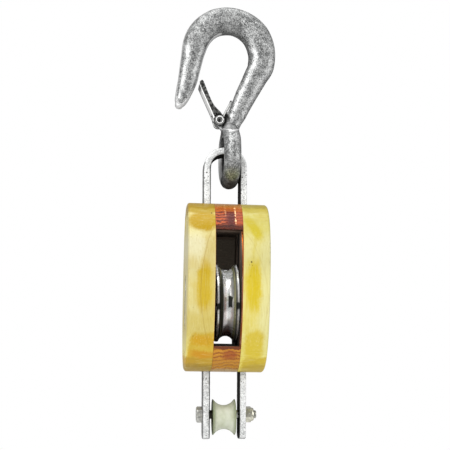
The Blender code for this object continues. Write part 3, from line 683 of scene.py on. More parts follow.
# painted highlight on the web's face beyond the flange, edged by painted dark lines at the bend and at the sheet's rim
clear = n.step(along, 3.2, 4.4)
clear = n.math("MULTIPLY", clear, n.step(radius, 5.0, 5.4))
bend = n.math("MULTIPLY", n.step(across, -2.95, -3.2), clear)
col = n.mix(bend, col, srgb(236, 236, 235))
line_ = n.math("ABSOLUTE", n.math("ADD", across, 3.75))
col = n.mix(n.math("MULTIPLY", n.math("MULTIPLY", n.step(line_, 0.05, 0.30, 1.0, 0.0), clear), 0.45), col, srgb(90, 90, 88))
# painted shade near the tip
col = n.mix(n.math("MULTIPLY", n.math("MULTIPLY", n.step(along, LEN - 9.0, LEN - 5.0), n.step(across, -3.2, -3.6)), 0.9),
            col, srgb(16, 16, 16))
# on the far side: a painted dark line along the web's edge and painted light near the pivot
far = n.step(py_, 0.0040, 0.0065)
col = n.mix(n.math("MULTIPLY", n.math("MULTIPLY", far, n.step(across, -3.70, -3.85)), 0.85), col, srgb(36, 36, 35))
col = n.mix(n.math("MULTIPLY", n.math("MULTIPLY", far, n.step(radius, 4.9, 4.4)), 0.9), col, srgb(200, 200, 198))
LATCH = n.done(col, n.step(mott, 0.3, 0.7, 0.35, 0.6), n.math("MULTIPLY", n.math("SUBTRACT", 1.0, bend), 0.75),
               n.bump(mott, 0.5, 0.0004))

pts = arc(0, 0, 5.0, 262, 55, 30) + [(3.9, 4.3), (5.6, 4.0), (7.6, 3.4), (9.8, 2.4), (12.6, 1.45), (14.8, 0.95), (17.0, 0.7),
                                     (20.0, 0.55), (24.0, 0.6), (LEN - 1.2, 1.2), (LEN + 0.4, 0.9), (LEN + 0.8, 0.1),
                                     (LEN + 0.6, -1.2), (LEN + 0.2, -2.2), (LEN - 1.6, -2.8), (LEN - 1.8, WEB + 0.3),
                                     (LEN - 2.2, WEB), (9.0, WEB), (4.6, WEB - 0.35)]
latch = slab("latch_pressing", pts, 8.5, U, V, PIVOT)
hollow = slab("hollow", [(-60, WEB + 1.2), (80, WEB + 1.2), (80, 30), (-60, 30)], 7.3, U, V, PIVOT)
boolean(latch, hollow)
gap = slab("gap", [(-30, -20), (8.2, -20), (8.2, 20), (-30, 20)], 7.3, U, V, PIVOT)
boolean(latch, gap)
boolean(latch, lathe("hole", [(2.3, -12), (2.3, 12), (0, 12), (0, -12)], PIVOT, "Y", 40))
bevel(latch, 0.28, 2, 35)
latch.data.materials.append(LATCH)
latch.data.shade_smooth()
latch.data.set_sharp_from_angle(angle=math.radians(35))
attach(latch, "latch")
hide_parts("hook_latch")

# spring: leg on the latch, coil, loop on the shank, coil, leg
coil_r, turns, steps = 3.2, 1.417, 70
half_path = [PIVOT - V * 1.5 + U * 16 - np.array([0, 6.3, 0]), PIVOT - V * 1.7 + U * 9 - np.array([0, 6.3, 0]),
             PIVOT - V * 2.8 + U * 4 - np.array([0, 6.3, 0])]
for i in range(steps + 1):
    a = turns * 2 * math.pi * i / steps
    half_path.append(PIVOT + (-V * math.cos(a) - U * math.sin(a)) * coil_r + np.array([0, -6.3 + 2.35 * i / steps, 0]))
bends = [half_path[-2], half_path[-1]] + [np.array(q) for q in ((-1.5, -4.2, 170.0), (1.0, -4.4, 175.0), (3.3, -4.2, 179.2),
                                                                (4.7, -3.6, 182.2), (5.3, -2.2, 183.9), (5.5, 0.0, 184.6),
                                                                (5.3, 2.2, 183.9))]
for i in range(1, len(bends) - 2):
    half_path += [catmull(bends[i - 1:i + 3], j / 8) for j in range(1, 9)]
path = half_path + [p * np.array([1, -1, 1]) for p in half_path[::-1][1:]]
cu = bpy.data.curves.new("latch_spring_path", "CURVE")
cu.dimensions = "3D"
cu.bevel_depth = 0.90 * MM
cu.bevel_resolution = 3
cu.use_fill_caps = True
sp = cu.splines.new("POLY")
sp.points.add(len(path) - 1)
for q, p in zip(sp.points, path):
    q.co = (*(p * MM), 1)
tmp = bpy.data.objects.new("tmp", cu)
BLOCK.objects.link(tmp)
bpy.context.view_layer.update()
me = bpy.data.meshes.new_from_object(tmp.evaluated_get(bpy.context.evaluated_depsgraph_get()))
bpy.data.objects.remove(tmp)
n = Nodes("spring_wire")
# painted shade along the wire's edges, where it turns away from view
edge = n.n("LayerWeight")
edge.inputs["Blend"].default_value = 0.5
rim_ = n.step(edge.outputs["Facing"], 0.12, 0.42)
SPRING = n.done(n.mix(rim_, srgb(172, 172, 170), srgb(12, 12, 12)), 0.35, n.math("SUBTRACT", 0.5, n.math("MULTIPLY", rim_, 0.5)),
                n.bump(n.noise(n.scaled(1000, 1000, 1000), 0.6, 3), 0.2, 0.0003))
me.materials.clear()
spring = new_object("latch_spring_wire", me, SPRING, 180)
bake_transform(spring)
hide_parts("latch_spring")

# ---------------------------------------------------------------------------
# strap
# ---------------------------------------------------------------------------
LEG_IN, LEG_OUT, BOW_Z, BOW_RISE, END = 13.2, 19.55, 120.5, 20.0, -123.2
HALF_T = (LEG_OUT - LEG_IN) / 2
mid = []                                              # centre line with its outward normal
for z in np.arange(END, BOW_Z, 1.6):
    mid.append((LEG_OUT - HALF_T, z, 1.0, 0.0))
for i in range(61):
    a = math.pi * i / 60
    ox = LEG_OUT * math.copysign(abs(math.cos(a)) ** (2 / 2.2), math.cos(a))
    oz = BOW_RISE * abs(math.sin(a)) ** (2 / 2.2)
    nx, nz = math.copysign((abs(ox) / LEG_OUT) ** 1.2 / LEG_OUT, ox), (oz / BOW_RISE) ** 1.2 / BOW_RISE
    ln = math.hypot(nx, nz)
    mid.append((ox - HALF_T * nx / ln, BOW_Z + oz - HALF_T * nz / ln, nx / ln, nz / ln))
for z in np.arange(END, BOW_Z, 1.6)[::-1]:
    mid.append((-LEG_OUT + HALF_T, z, -1.0, 0.0))


def bar_section(half_t, half_w, r, n=5):
    out = []
    for cx, cy, a0 in ((half_t - r, half_w - r, 0), (-half_t + r, half_w - r, 90), (-half_t + r, -half_w + r, 180),
                       (half_t - r, -half_w + r, 270)):
        out += arc(cx, cy, r, a0, a0 + 90, n)
    return out


rings = []
for x, z, nx, nz in mid:
    d = z - END
    hw = 11.0 - (6 - math.sqrt(max(0.0, 36 - (6 - d) ** 2)) if d < 6 else 0.0)
    hw = max(hw, 5.2)
    rings.append([np.array([x + nx * p, q, z + nz * p]) for p, q in bar_section(HALF_T, hw, 1.5)])
strap = tube("strap_bar", rings)
s = strap.modifiers.new("sub", "SUBSURF")
s.subdivision_type = "SIMPLE"
s.levels = s.render_levels = 1
apply_all(strap)
bevel(strap, 0.6, 2, 70)
for r, z in ((6.5, 0.0), (4.2, -101.5)):
    boolean(strap, lathe("hole", [(r, -30), (r, 30), (0, 30), (0, -30)], (0, 0, z), "X", 48))
co, no = coords(strap), normals(strap)
co += no * (lump(co, 0.30, 5.0) * 0.10 + lump(co, 0.9, 2.0) * 0.05)[:, None]
set_coords(strap, co)
strap.data.materials.append(GALV_BAR)
strap.data.shade_smooth()
strap.data.set_sharp_from_angle(angle=math.radians(50))
# painted shade: the legs' inner faces, the bow's underside and, lighter, the left leg's outer face
toward = -np.sign(co[:, 0]) * no[:, 0]
painted_shade = ((np.abs(co[:, 0]) < 15.0) & (co[:, 2] < BOW_Z + 4)) * smoothstep(0.1, 0.6, toward)
painted_shade = np.maximum(painted_shade, smoothstep(BOW_Z - 2, BOW_Z + 4, co[:, 2]) * smoothstep(0.25, -0.25, no[:, 2]) * (np.abs(no[:, 1]) < 0.6))
painted_shade = np.maximum(painted_shade, ((co[:, 0] < -18.8) & (no[:, 0] < -0.7)) * 0.28)
paint(strap, "painted_shade", np.clip(painted_shade, 0, 0.98))
paint(strap, "shine", np.zeros(len(co)))
paint(strap, "painted_green_reflection", np.zeros(len(co)))
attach(strap, "block")
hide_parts("inner_strap")

# ---------------------------------------------------------------------------
# wooden shell
# ---------------------------------------------------------------------------
MIDZ, HALF_L, HALF_D = 13.8, 76.2, 50.0
SLOT, FACE = 11.9, 35.8
FULLNESS = 2.6
TOP_OF_SLOT, FOOT_OF_SLOT = 63.3, -38.0
# the shell hangs a little askew on its strap, as the channels' slack allows
LEAN = math.radians(0.85)
POCKET = 2.9


def oval(x, inset, n=220):
    out = []
    for i in range(n):
        c, s = math.cos(2 * math.pi * i / n), math.sin(2 * math.pi * i / n)
        out.append(np.array([x, (HALF_D - inset) * math.copysign(abs(c) ** (2 / FULLNESS), c),
                             MIDZ + (HALF_L - inset) * math.copysign(abs(s) ** (2 / FULLNESS), s)]))
    return out


def rim_depth(z):
    return HALF_D * np.clip(1 - np.abs((z - MIDZ) / HALF_L) ** FULLNESS, 0.003, 1) ** (1 / FULLNESS)


def askew(obj):
    obj.rotation_euler = (0, LEAN, 0)
    return obj


def upright(co):
    """Points given square to the strap, as the leaning shell sees them."""
    c, s = math.cos(-LEAN), math.sin(-LEAN)
    return np.stack([co[:, 0] * c + co[:, 2] * s, co[:, 1], -co[:, 0] * s + co[:, 2] * c], 1)


def plate_rings(x0, x1, r0, r1, spans=14):
    """Oval rings from x0 to x1 with rounded rims of radius r0 and r1."""
    d = 1 if x1 > x0 else -1
    rows = []
    for k in range(5):
        a = math.radians(90 * k / 4)
        rows.append((x0 + d * r0 * (1 - math.cos(a)), r0 * (1 - math.sin(a))))
    a0, a1 = x0 + d * r0, x1 - d * r1
    for k in range(1, spans):
        rows.append((a0 + (a1 - a0) * k / spans, 0.0))
    for k in range(9):
        a = math.radians(90 * k / 8)
        rows.append((x1 - d * r1 + d * r1 * math.sin(a), r1 * (1 - math.cos(a))))
    return [oval(x, i) for x, i in rows]


def rounded_slab(name, half_long, r, thick, centre, side):
    pts = arc(0, half_long - r, r, 0, 180, 24) + arc(0, -(half_long - r), r, 180, 360, 24)
    return slab(name, pts, thick / 2, (0, 1, 0), (0, 0, 1), centre)


ROLL = math.radians(0.25)
MID_U, EYE_LINE = 223.9, 318.0       # where the axle's plane and the eye level fall in the view


def on_rim(u, v):
    """Across and up on the shell's front rim (its own millimetres) for a place in the view."""
    x = z = 0.0
    sa, ca = math.sin(math.radians(AZ)), math.cos(math.radians(AZ))
    sl, cl = math.sin(LEAN), math.cos(LEAN)
    for _ in range(10):
        y = -float(rim_depth(z))
        xw, zw = x * cl + z * sl, -x * sl + z * cl
        k = DIST * 1000 / (DIST * 1000 - xw * sa + y * ca)
        xw = ((u - MID_U - ROLL * (EYE_LINE - v)) * PX / k - y * sa) / ca
        zw = (EYE_LINE - v + ROLL * (u - MID_U)) * PX / k - 13.4
        x, z = xw * cl - zw * sl, xw * sl + zw * cl
    return x, z


WOOD_TONE = 0.70                     # the varnish lifts everything; the stain itself is this much darker


def stain(r, g, b, k=None):
    c = srgb(r, g, b)
    k = WOOD_TONE if k is None else k
    return (c[0] * k, c[1] * k, c[2] * k, 1)


def patch(n, X, Z, box, soft=0.35, power=3.0):
    """A rounded soft-edged patch over a part of the rim, 1 inside and 0 outside."""
    u0, v0, u1, v1 = box
    x0, z0 = on_rim(u0, (v0 + v1) / 2)
    x1, _ = on_rim(u1, (v0 + v1) / 2)
    _, zt = on_rim((u0 + u1) / 2, v0)
    _, zb = on_rim((u0 + u1) / 2, v1)
    dx = n.math("DIVIDE", n.math("ABSOLUTE", n.math("ADD", X, -(x0 + x1) / 2)), abs(x1 - x0) / 2)
    dz = n.math("DIVIDE", n.math("ABSOLUTE", n.math("ADD", Z, -(zt + zb) / 2)), abs(zt - zb) / 2)
    r = n.math("ADD", n.math("POWER", dx, power), n.math("POWER", dz, power))
    r = n.math("POWER", r, 1 / power)
    return n.step(r, 1.0 - soft, 1.0 + soft, 1.0, 0.0)


def rim_ratio(n, xyz):
    """How far back from the front rim, in millimetres, for any height."""
    zz = n.math("ABSOLUTE", n.math("DIVIDE", n.math("ADD", n.math("MULTIPLY", xyz[2], 1000.0), -MIDZ), HALF_L))
    depth = n.math("POWER", n.math("MAXIMUM", n.math("SUBTRACT", 1.0, n.math("POWER", zz, FULLNESS)), 0.003), 1 / FULLNESS)
    return n.math("SUBTRACT", n.math("MULTIPLY", depth, HALF_D), n.math("MULTIPLY", xyz[1], -1000.0))


def varnished(name, side):
    """Pale hardwood with upright grain under a glossy coat."""
    n = Nodes(name)
    xyz = n.xyz()
    v = n.scaled(1000, 1000, 1000)
    x, z = n.math("MULTIPLY", xyz[0], 1000.0), n.math("MULTIPLY", xyz[2], 1000.0)
    wob = n.noise(n.scaled(130, 40, 90), 1.0, 3, 0.6)
    wob2 = n.noise(n.scaled(600, 200, 600), 1.0, 3, 0.65)
    shift = n.math("ADD", n.math("MULTIPLY", n.math("SUBTRACT", wob, 0.5), 7.0), n.math("MULTIPLY", n.math("SUBTRACT", wob2, 0.5), 3.2))
    X = n.math("ADD", x, shift)
    Z = n.math("ADD", z, n.math("MULTIPLY", shift, -0.9))
    upright_grain = n.noise(n.scaled(1100, 1100, 40), 1.0, 4, 0.65)
    level_grain = n.noise(n.scaled(70, 240, 950), 1.0, 4, 0.6)
    zend = n.math("ABSOLUTE", n.math("ADD", z, -MIDZ))
    endness = n.step(zend, 46.0, 62.0)
    grain = n.math("ADD", n.math("MULTIPLY", upright_grain, n.math("SUBTRACT", 1.0, endness)), n.math("MULTIPLY", level_grain, endness))
    streak = n.noise(n.scaled(300, 300, 14), 1.0, 4, 0.6, 0.4)
    blotch = n.noise(n.scaled(70, 70, 60), 1.0, 4, 0.6)
    mottle = n.noise(v, 0.55, 4, 0.7)

    def lay(col, mask, tone, amount=1.0, rough=0.0):
        m = mask
        if rough:
            m = n.math("MULTIPLY", m, n.step(n.math("ADD", n.math("MULTIPLY", mottle, 0.6), n.math("MULTIPLY", streak, 0.4)), 0.5 - rough, 0.5 + rough * 0.4, 1 - rough, 1.0))
        if amount != 1.0:
            m = n.math("MULTIPLY", m, amount)
        return n.mix(m, col, stain(*tone))

    if side < 0:
        col = n.mix(n.step(streak, 0.35, 0.65), stain(228, 212, 158), stain(238, 226, 180))
        col = n.mix(n.math("MULTIPLY", n.step(blotch, 0.42, 0.62), 0.5), col, stain(226, 204, 136))
        col = lay(col, patch(n, X, Z, (203, 232, 217, 335), 0.5), (222, 200, 128), 0.8)
        col = lay(col, patch(n, X, Z, (186.5, 232, 204, 256), 0.5), (246, 238, 204), 0.75)
        col = lay(col, patch(n, X, Z, (180, 312, 218, 336), 0.5, 4), (218, 196, 118), 0.8, 0.3)
        col = lay(col, patch(n, X, Z, (197.0, 262, 211.0, 310), 0.34, 3), (210, 174, 22), 1.0, 0.2)
        col = lay(col, patch(n, X, Z, (193.0, 272, 215.0, 306), 0.4, 3), (220, 190, 78), 0.45, 0.3)
        col = lay(col, patch(n, X, Z, (189.6, 211.5, 219, 230.5), 0.24, 2.6), (192, 154, 20), 1.0, 0.12)
        col = lay(col, patch(n, X, Z, (176, 200, 222, 212.5), 0.16, 4), (188, 154, 34), 0.9, 0.2)
        col = lay(col, patch(n, X, Z, (187.5, 333, 222, 376), 0.10, 5), (210, 174, 62), 0.95, 0.2)
        col = lay(col, patch(n, X, Z, (191, 336, 213, 345), 0.5, 3), (214, 162, 34), 0.9, 0.3)
        col = lay(col, patch(n, X, Z, (190.5, 350.5, 216, 358.5), 0.4, 3), (206, 146, 40), 1.0, 0.3)
        col = lay(col, patch(n, X, Z, (176, 357.5, 225, 390), 0.10, 5), (190, 150, 58), 0.95, 0.15)
        col = lay(col, patch(n, X, Z, (176, 364.5, 225, 392), 0.14, 5), (158, 128, 62), 0.85, 0.1)
        col = lay(col, patch(n, X, Z, (176, 196, 225, 208.6), 0.10, 5), (176, 142, 30), 0.95, 0.1)
        ring_at, ring_r = (370.8, 292.0), 170.0
    else:
        col = n.mix(n.step(streak, 0.35, 0.65), stain(233, 217, 128), stain(241, 229, 156))
        col = n.mix(n.math("MULTIPLY", n.step(blotch, 0.42, 0.62), 0.55), col, stain(232, 212, 108))
        col = lay(col, patch(n, X, Z, (260.5, 226, 280, 352), 0.35, 4), (236, 228, 172), 0.75)
        col = lay(col, patch(n, X, Z, (243, 233, 252, 262), 0.5, 3), (246, 236, 172), 0.7)
        lean_u = n.math("ADD", X, n.math("MULTIPLY", n.math("ADD", Z, -70.0), 0.55))
        col = lay(col, patch(n, lean_u, Z, (245.5, 217, 256, 240), 0.4, 3), (226, 204, 52), 0.9, 0.25)
        col = lay(col, patch(n, X, Z, (246.5, 261, 261.5, 311), 0.34, 3), (224, 196, 30), 0.95, 0.5)
        col = lay(col, patch(n, X, Z, (251.0, 268, 257.5, 306), 0.5, 2.5), (222, 194, 34), 0.7, 0.6)
        col = lay(col, patch(n, X, Z, (244.5, 331, 263, 358), 0.25, 4), (223, 195, 56), 0.9, 0.2)
        col = lay(col, patch(n, X, Z, (238, 357.5, 276, 390), 0.10, 5), (208, 178, 56), 0.95, 0.15)
        col = lay(col, patch(n, X, Z, (238, 364.5, 276, 392), 0.14, 5), (186, 158, 62), 0.9, 0.1)
        col = lay(col, patch(n, X, Z, (238, 196, 280, 212.5), 0.14, 5), (218, 196, 86), 0.85, 0.15)
        col = lay(col, patch(n, X, Z, (238, 196, 280, 208.8), 0.10, 5), (196, 174, 66), 0.95, 0.1)
        ring_at, ring_r = (150.0, 300.0), 118.0
    # a few growth rings that run as long arcs up the rim
    cx, cz = on_rim(*ring_at)
    ring_x, _ = on_rim(ring_at[0] + (-ring_r if side < 0 else ring_r), ring_at[1])
    rad = abs(ring_x - cx)
    ddx = n.math("ADD", x, -cx)
    ddz = n.math("ADD", z, -cz)
    r = n.math("SQRT", n.math("ADD", n.math("MULTIPLY", ddx, ddx), n.math("MULTIPLY", ddz, ddz)))
    r = n.math("ADD", r, n.math("MULTIPLY", n.math("SUBTRACT", wob, 0.5), 1.6))
    mid_rim = n.step(zend, 42.0, 60.0, 1.0, 0.0)
    for off, k in (((0.0, 0.34), (-4.2, 0.12)) if side < 0 else ((0.0, 0.12),)):
        near = n.math("ABSOLUTE", n.math("ADD", r, -(rad + off)))
        line = n.math("MULTIPLY", n.step(near, 0.15, 0.85, 1.0, 0.0), n.math("MULTIPLY", mid_rim, k))
        col = n.mix(line, col, stain(178, 142, 66))
    col = n.mix(n.math("MULTIPLY", n.step(grain, 0.52, 0.72), 0.30), col, stain(176, 138, 58))
    col = n.mix(n.math("MULTIPLY", n.step(grain, 0.48, 0.28), 0.25), col, stain(246, 238, 208))
    fleck = n.voronoi(n.scaled(300, 300, 200), 1.0).outputs["Distance"]
    gate = n.step(n.noise(n.scaled(40, 40, 40), 1.0, 2), 0.52, 0.60)
    col = n.mix(n.math("MULTIPLY", n.math("MULTIPLY", n.step(fleck, 0.05, 0.14, 1.0, 0.0), gate), 0.45), col, stain(120, 88, 30))
    # small dark knots
    for u, w, size, k in (((211.6, 213.0, 0.75, 0.8), (193.0, 336.0, 0.7, 0.35)) if side < 0 else
                          ((251.6, 262.0, 0.85, 0.95), (252.4, 265.6, 0.5, 0.5), (249.6, 264.9, 0.5, 0.45), (270.3, 243.5, 0.6, 0.5),
                           (270.5, 247.4, 0.5, 0.5), (270.2, 252.6, 0.5, 0.4), (269.8, 262.0, 0.5, 0.35))):
        kx, kz = on_rim(u, w)
        d2 = n.math("ADD", n.math("POWER", n.math("ABSOLUTE", n.math("ADD", x, -kx)), 2.0), n.math("POWER", n.math("ABSOLUTE", n.math("ADD", z, -kz)), 2.0))
        col = n.mix(n.math("MULTIPLY", n.step(n.math("SQRT", d2), size * 0.4, size * 1.2, 1.0, 0.0), n.math("MULTIPLY", n.step(xyz[1], -0.006, 0.0, 1.0, 0.0), k)), col, stain(46, 30, 14))
    # painted light and shade by height: paler at the foot and deeper at the top, a brightness curve that makes up for
    # this scene's lighting
    if side < 0:
        tones = ((-60, 1.40, 0.60), (-54, 1.32, 0.60), (-44, 1.22, 0.62), (-36, 1.10, 0.62), (-24, 1.0, 0.80), (15, 0.95, 0.80),
                 (36, 0.90, 0.92), (53, 0.87, 0.95), (64, 0.94, 0.80), (74, 0.98, 0.76), (85, 0.93, 0.80))
    else:
        tones = ((-60, 1.40, 0.66), (-54, 1.30, 0.66), (-44, 1.10, 0.80), (-30, 1.02, 0.90), (-10, 1.0, 0.95), (15, 0.98, 0.90),
                 (24, 0.93, 0.90), (36, 0.82, 0.92), (53, 0.84, 0.95), (64, 0.76, 0.72), (70, 0.71, 0.72), (85, 0.74, 0.80))
    place = n.math("MULTIPLY", n.math("ADD", z, 60.0), 1 / 150.0)
    ramp = n.ramp(place, [((q + 60) / 150.0, (0.97 * k / 2, k / 2, k * b / 2, 1)) for q, k, b in tones])
    col = n.mix(1.0, n.mix(1.0, col, ramp, "MULTIPLY"), (2.0, 2.0, 2.0, 1.0), "MULTIPLY")
    # the slot's walls get painted shade deeper inside; near the rim the varnish has run in, orange
    wall = n.step(n.math("ABSOLUTE", x), SLOT + 0.12, SLOT + 0.3, 1.0, 0.0)
    back = rim_ratio(n, xyz)
    edge_d = n.math("ADD", n.math("MULTIPLY", n.step(zend, 20.0, 52.0), 5.0), 8.0)
    edge_d = n.math("ADD", edge_d, n.math("MULTIPLY", n.math("SUBTRACT", wob2, 0.5), 5.0))
    deep = n.step(n.math("SUBTRACT", back, edge_d), -1.0, 1.0)
    col = n.mix(wall, col, stain(176, 88, 24))
    dark = n.math("MULTIPLY", wall, deep)
    # painted shade in the strap's channels
    chan = n.math("MULTIPLY", n.math("MULTIPLY", n.step(n.math("ABSOLUTE", x), 19.9, 20.1, 1.0, 0.0), n.step(n.math("ABSOLUTE", n.math("MULTIPLY", xyz[1], 1000.0)), 11.45, 11.6, 1.0, 0.0)), 1.0)
    dark = n.math("MAXIMUM", dark, chan)
    col = n.mix(dark, col, srgb(60, 52, 45))
    h = n.math("ADD", n.math("MULTIPLY", grain, 0.7), n.math("MULTIPLY", mottle, 0.35))
    nor = n.bump(h, 0.22, 0.0003, n.bump(blotch, 0.35, 0.0018))
    m = n.done(col, n.math("ADD", n.step(grain, 0.3, 0.7, 0.34, 0.46), n.math("MULTIPLY", dark, 0.4)), 0.0, nor)
    n.put(n.b.inputs["Coat Weight"], n.math("SUBTRACT", 0.13, n.math("MULTIPLY", dark, 0.13)))
    n.put(n.b.inputs["Specular IOR Level"], n.math("SUBTRACT", 0.12, n.math("MULTIPLY", dark, 0.10)))
    n.put(n.b.inputs["Coat Roughness"], n.step(blotch, 0.3, 0.7, 0.10, 0.24))
    n.put(n.b.inputs["Coat Tint"], srgb(255, 246, 214))
    return m


for side, tag in ((-1, "left"), (1, "right")):
    cheek = tube(tag + "_cheek_wood", plate_rings(side * SLOT, side * FACE, 0.3, 2.4))
    ch = LEG_OUT + 0.3 - (SLOT - 1)
    verts = [(side * (SLOT - 1 + ch * i), 11.3 * j, MIDZ + 100 * k) for i in (0, 1) for j in (-1, 1) for k in (-1, 1)]
    box_faces = [(0, 1, 3, 2), (4, 6, 7, 5), (0, 4, 5, 1), (2, 3, 7, 6), (0, 2, 6, 4), (1, 5, 7, 3)]
    channel = from_arrays("cut", verts, box_faces)
    set_coords(channel, upright(coords(channel)))
    boolean(cheek, channel)
    boolean(cheek, lathe("cut", [(6.65, side * (SLOT - 5)), (6.65, side * (FACE + 5)), (0, side * (FACE + 5)), (0, side * (SLOT - 5))],
                         (0, 0, 0), "X", 48))
    boolean(cheek, rounded_slab("cut", 25.3, 10.3, 10, (side * (FACE - POCKET + 5), 0, 0), side))
    for k in (-1, 1):
        for z in (75.5, -49.5):
            boolean(cheek, lathe("cut", [(6.6, side * (FACE - 2.2)), (6.6, side * (FACE + 4)), (0, side * (FACE + 4)), (0, side * (FACE - 2.2))],
                                 (0, 17.5 * k, z), "X", 40))
    wn = cheek.modifiers.new("wn", "WEIGHTED_NORMAL")
    wn.keep_sharp = True
    cheek.data.shade_smooth()
    cheek.data.set_sharp_from_angle(angle=math.radians(32))
    cheek.data.materials.append(varnished(tag + "_wood", side))
    askew(cheek)
    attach(cheek, "block")
    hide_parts(tag + "_cheek")


def end_grain(name, upper):
    """Wood seen end on, with growth rings round an axis that runs front to back."""
    n = Nodes(name)
    xyz = n.xyz()
    x, z = n.math("MULTIPLY", xyz[0], 1000.0), n.math("MULTIPLY", xyz[2], 1000.0)
    w1 = n.noise(n.scaled(170, 20, 170), 1.0, 3, 0.6)
    w2 = n.noise(n.scaled(620, 60, 620), 1.0, 3, 0.6)
    shift = n.math("ADD", n.math("MULTIPLY", n.math("SUBTRACT", w1, 0.5), 4.5), n.math("MULTIPLY", n.math("SUBTRACT", w2, 0.5), 2.4))
    X, Z = n.math("ADD", x, shift), n.math("ADD", z, n.math("MULTIPLY", shift, 0.8))
    cell = n.voronoi(n.scaled(1500, 240, 1500), 1.0).outputs["Distance"]

    def lay(col, box, tone, amount=1.0, soft=0.4, power=3.0):
        return n.mix(n.math("MULTIPLY", patch(n, X, Z, box, soft, power), amount), col, stain(*tone))

    # rings: hills stacked one over the other
    cu, cv, gap, squash = (231.0, 262.0, 2.7, 0.55) if upper else (229.0, 384.0, 3.1, 0.62)
    cx, cz = on_rim(cu, cv)
    dx = n.math("MULTIPLY", n.math("ADD", x, -cx), squash)
    dz = n.math("ADD", z, -cz)
    r = n.math("SQRT", n.math("ADD", n.math("MULTIPLY", dx, dx), n.math("MULTIPLY", dz, dz)))
    r = n.math("ADD", r, n.math("ADD", n.math("MULTIPLY", w1, 5.0), n.math("MULTIPLY", w2, 2.6)))
    ring = n.math("PINGPONG", r, gap / 2)
    line = n.step(ring, gap * 0.06, gap * 0.30)
    if upper:
        col = n.mix(line, stain(96, 30, 14), stain(190, 98, 46))
        col = lay(col, (225.5, 209, 236.0, 227), (104, 26, 14), 0.85, 0.45)
        col = lay(col, (229.0, 214, 234.5, 228), (84, 16, 12), 0.7, 0.5)
        col = lay(col, (235.5, 205, 246.0, 232), (176, 84, 36), 0.6, 0.4)
        col = lay(col, (205, 198, 252, 208.2), (180, 144, 82), 0.95, 0.12, 5)
        col = lay(col, (205, 206.5, 252, 211.5), (200, 128, 56), 0.6, 0.4, 5)
        col = lay(col, (205, 224.5, 252, 236), (60, 22, 14), 0.85, 0.2, 5)
    else:
        col = n.mix(line, stain(158, 92, 34), stain(206, 146, 54))
        col = lay(col, (223.5, 350.5, 236.5, 359.5), (160, 78, 40), 0.75, 0.45)
        col = lay(col, (200, 340, 256, 349.3), (104, 44, 22), 0.95, 0.16, 5)
        col = lay(col, (200, 360, 256, 372.5), (198, 142, 50), 0.45, 0.3, 5)
        col = lay(col, (200, 369.3, 256, 384), (186, 156, 112), 0.8, 0.10, 5)
    col = n.mix(n.math("MULTIPLY", n.step(cell, 0.1, 0.35, 1.0, 0.0), 0.22), col, stain(80, 30, 12))
    glint = None
    if upper:                                      # painted highlights: thin upright glints, as on varnish runs
        gx, _ = on_rim(235.4, 214)
        run = n.math("ABSOLUTE", n.math("ADD", n.math("ADD", x, n.math("MULTIPLY", n.math("SUBTRACT", w2, 0.5), 3.4)), -gx))
        gap_n = n.noise(n.scaled(60, 20, 900), 1.0, 2, 0.6)
        top_z, low_z = on_rim(235, 207.5)[1], on_rim(235, 224)[1]
        glint = n.math("MULTIPLY", n.step(run, 0.15, 0.85, 1.0, 0.0), n.step(gap_n, 0.40, 0.56))
        glint = n.math("MULTIPLY", glint, n.math("MULTIPLY", n.step(z, low_z - 1, low_z + 1), n.step(z, top_z - 1, top_z + 1, 1.0, 0.0)))
        gx2, _ = on_rim(225.6, 214)
        run2 = n.math("ABSOLUTE", n.math("ADD", n.math("ADD", x, n.math("MULTIPLY", n.math("SUBTRACT", w2, 0.5), 3.0)), -gx2))
        g2 = n.math("MULTIPLY", n.step(run2, 0.15, 0.7, 0.35, 0.0), n.math("MULTIPLY", n.step(gap_n, 0.46, 0.56), n.step(z, low_z + 6, low_z + 9)))
        glint = n.math("MAXIMUM", glint, g2)
        col = n.mix(glint, col, srgb(250, 226, 196))
    col = n.mix(1.0, col, (0.97, 0.74, 0.52, 1.0) if upper else (1.0, 0.94, 0.56, 1.0), "MULTIPLY")
    if not upper:
        col = n.mix(1.0, col, (1.16, 1.16, 1.16, 1.0), "MULTIPLY")
    # painted shade where it faces into the slot
    back = rim_ratio(n, xyz)
    if upper:
        inner = n.math("MULTIPLY", n.step(z, TOP_OF_SLOT + 0.1, TOP_OF_SLOT + 0.7, 1.0, 0.0), n.step(n.math("ADD", back, n.math("MULTIPLY", w2, 3.0)), 2.6, 4.0))
        inner = n.math("MAXIMUM", inner, n.step(z, TOP_OF_SLOT - 1.2, TOP_OF_SLOT - 0.8, 1.0, 0.0))
    else:
        inner = n.math("MULTIPLY", n.step(z, FOOT_OF_SLOT - 0.7, FOOT_OF_SLOT - 0.1), n.step(back, 2.0, 5.0))
    apron = n.step(z, TOP_OF_SLOT - 3.0, TOP_OF_SLOT - 2.0, 1.0, 0.0)
    col = n.mix(inner, col, n.mix(apron, srgb(58, 49, 42), srgb(64, 58, 50)))
    h = n.math("ADD", n.math("MULTIPLY", line, 0.8), n.math("MULTIPLY", w2, 0.6))
    nor = n.bump(h, 0.55, 0.0006)
    m = n.done(col, n.math("ADD", n.step(w2, 0.3, 0.7, 0.24, 0.40), n.math("MULTIPLY", inner, 0.5)), 0.0, nor)
    n.put(n.b.inputs["Coat Weight"], n.math("SUBTRACT", 0.12, n.math("MULTIPLY", inner, 0.12)))
    n.put(n.b.inputs["Specular IOR Level"], n.math("SUBTRACT", 0.2, n.math("MULTIPLY", inner, 0.16)))
    n.b.inputs["Coat Roughness"].default_value = 0.14
    return m


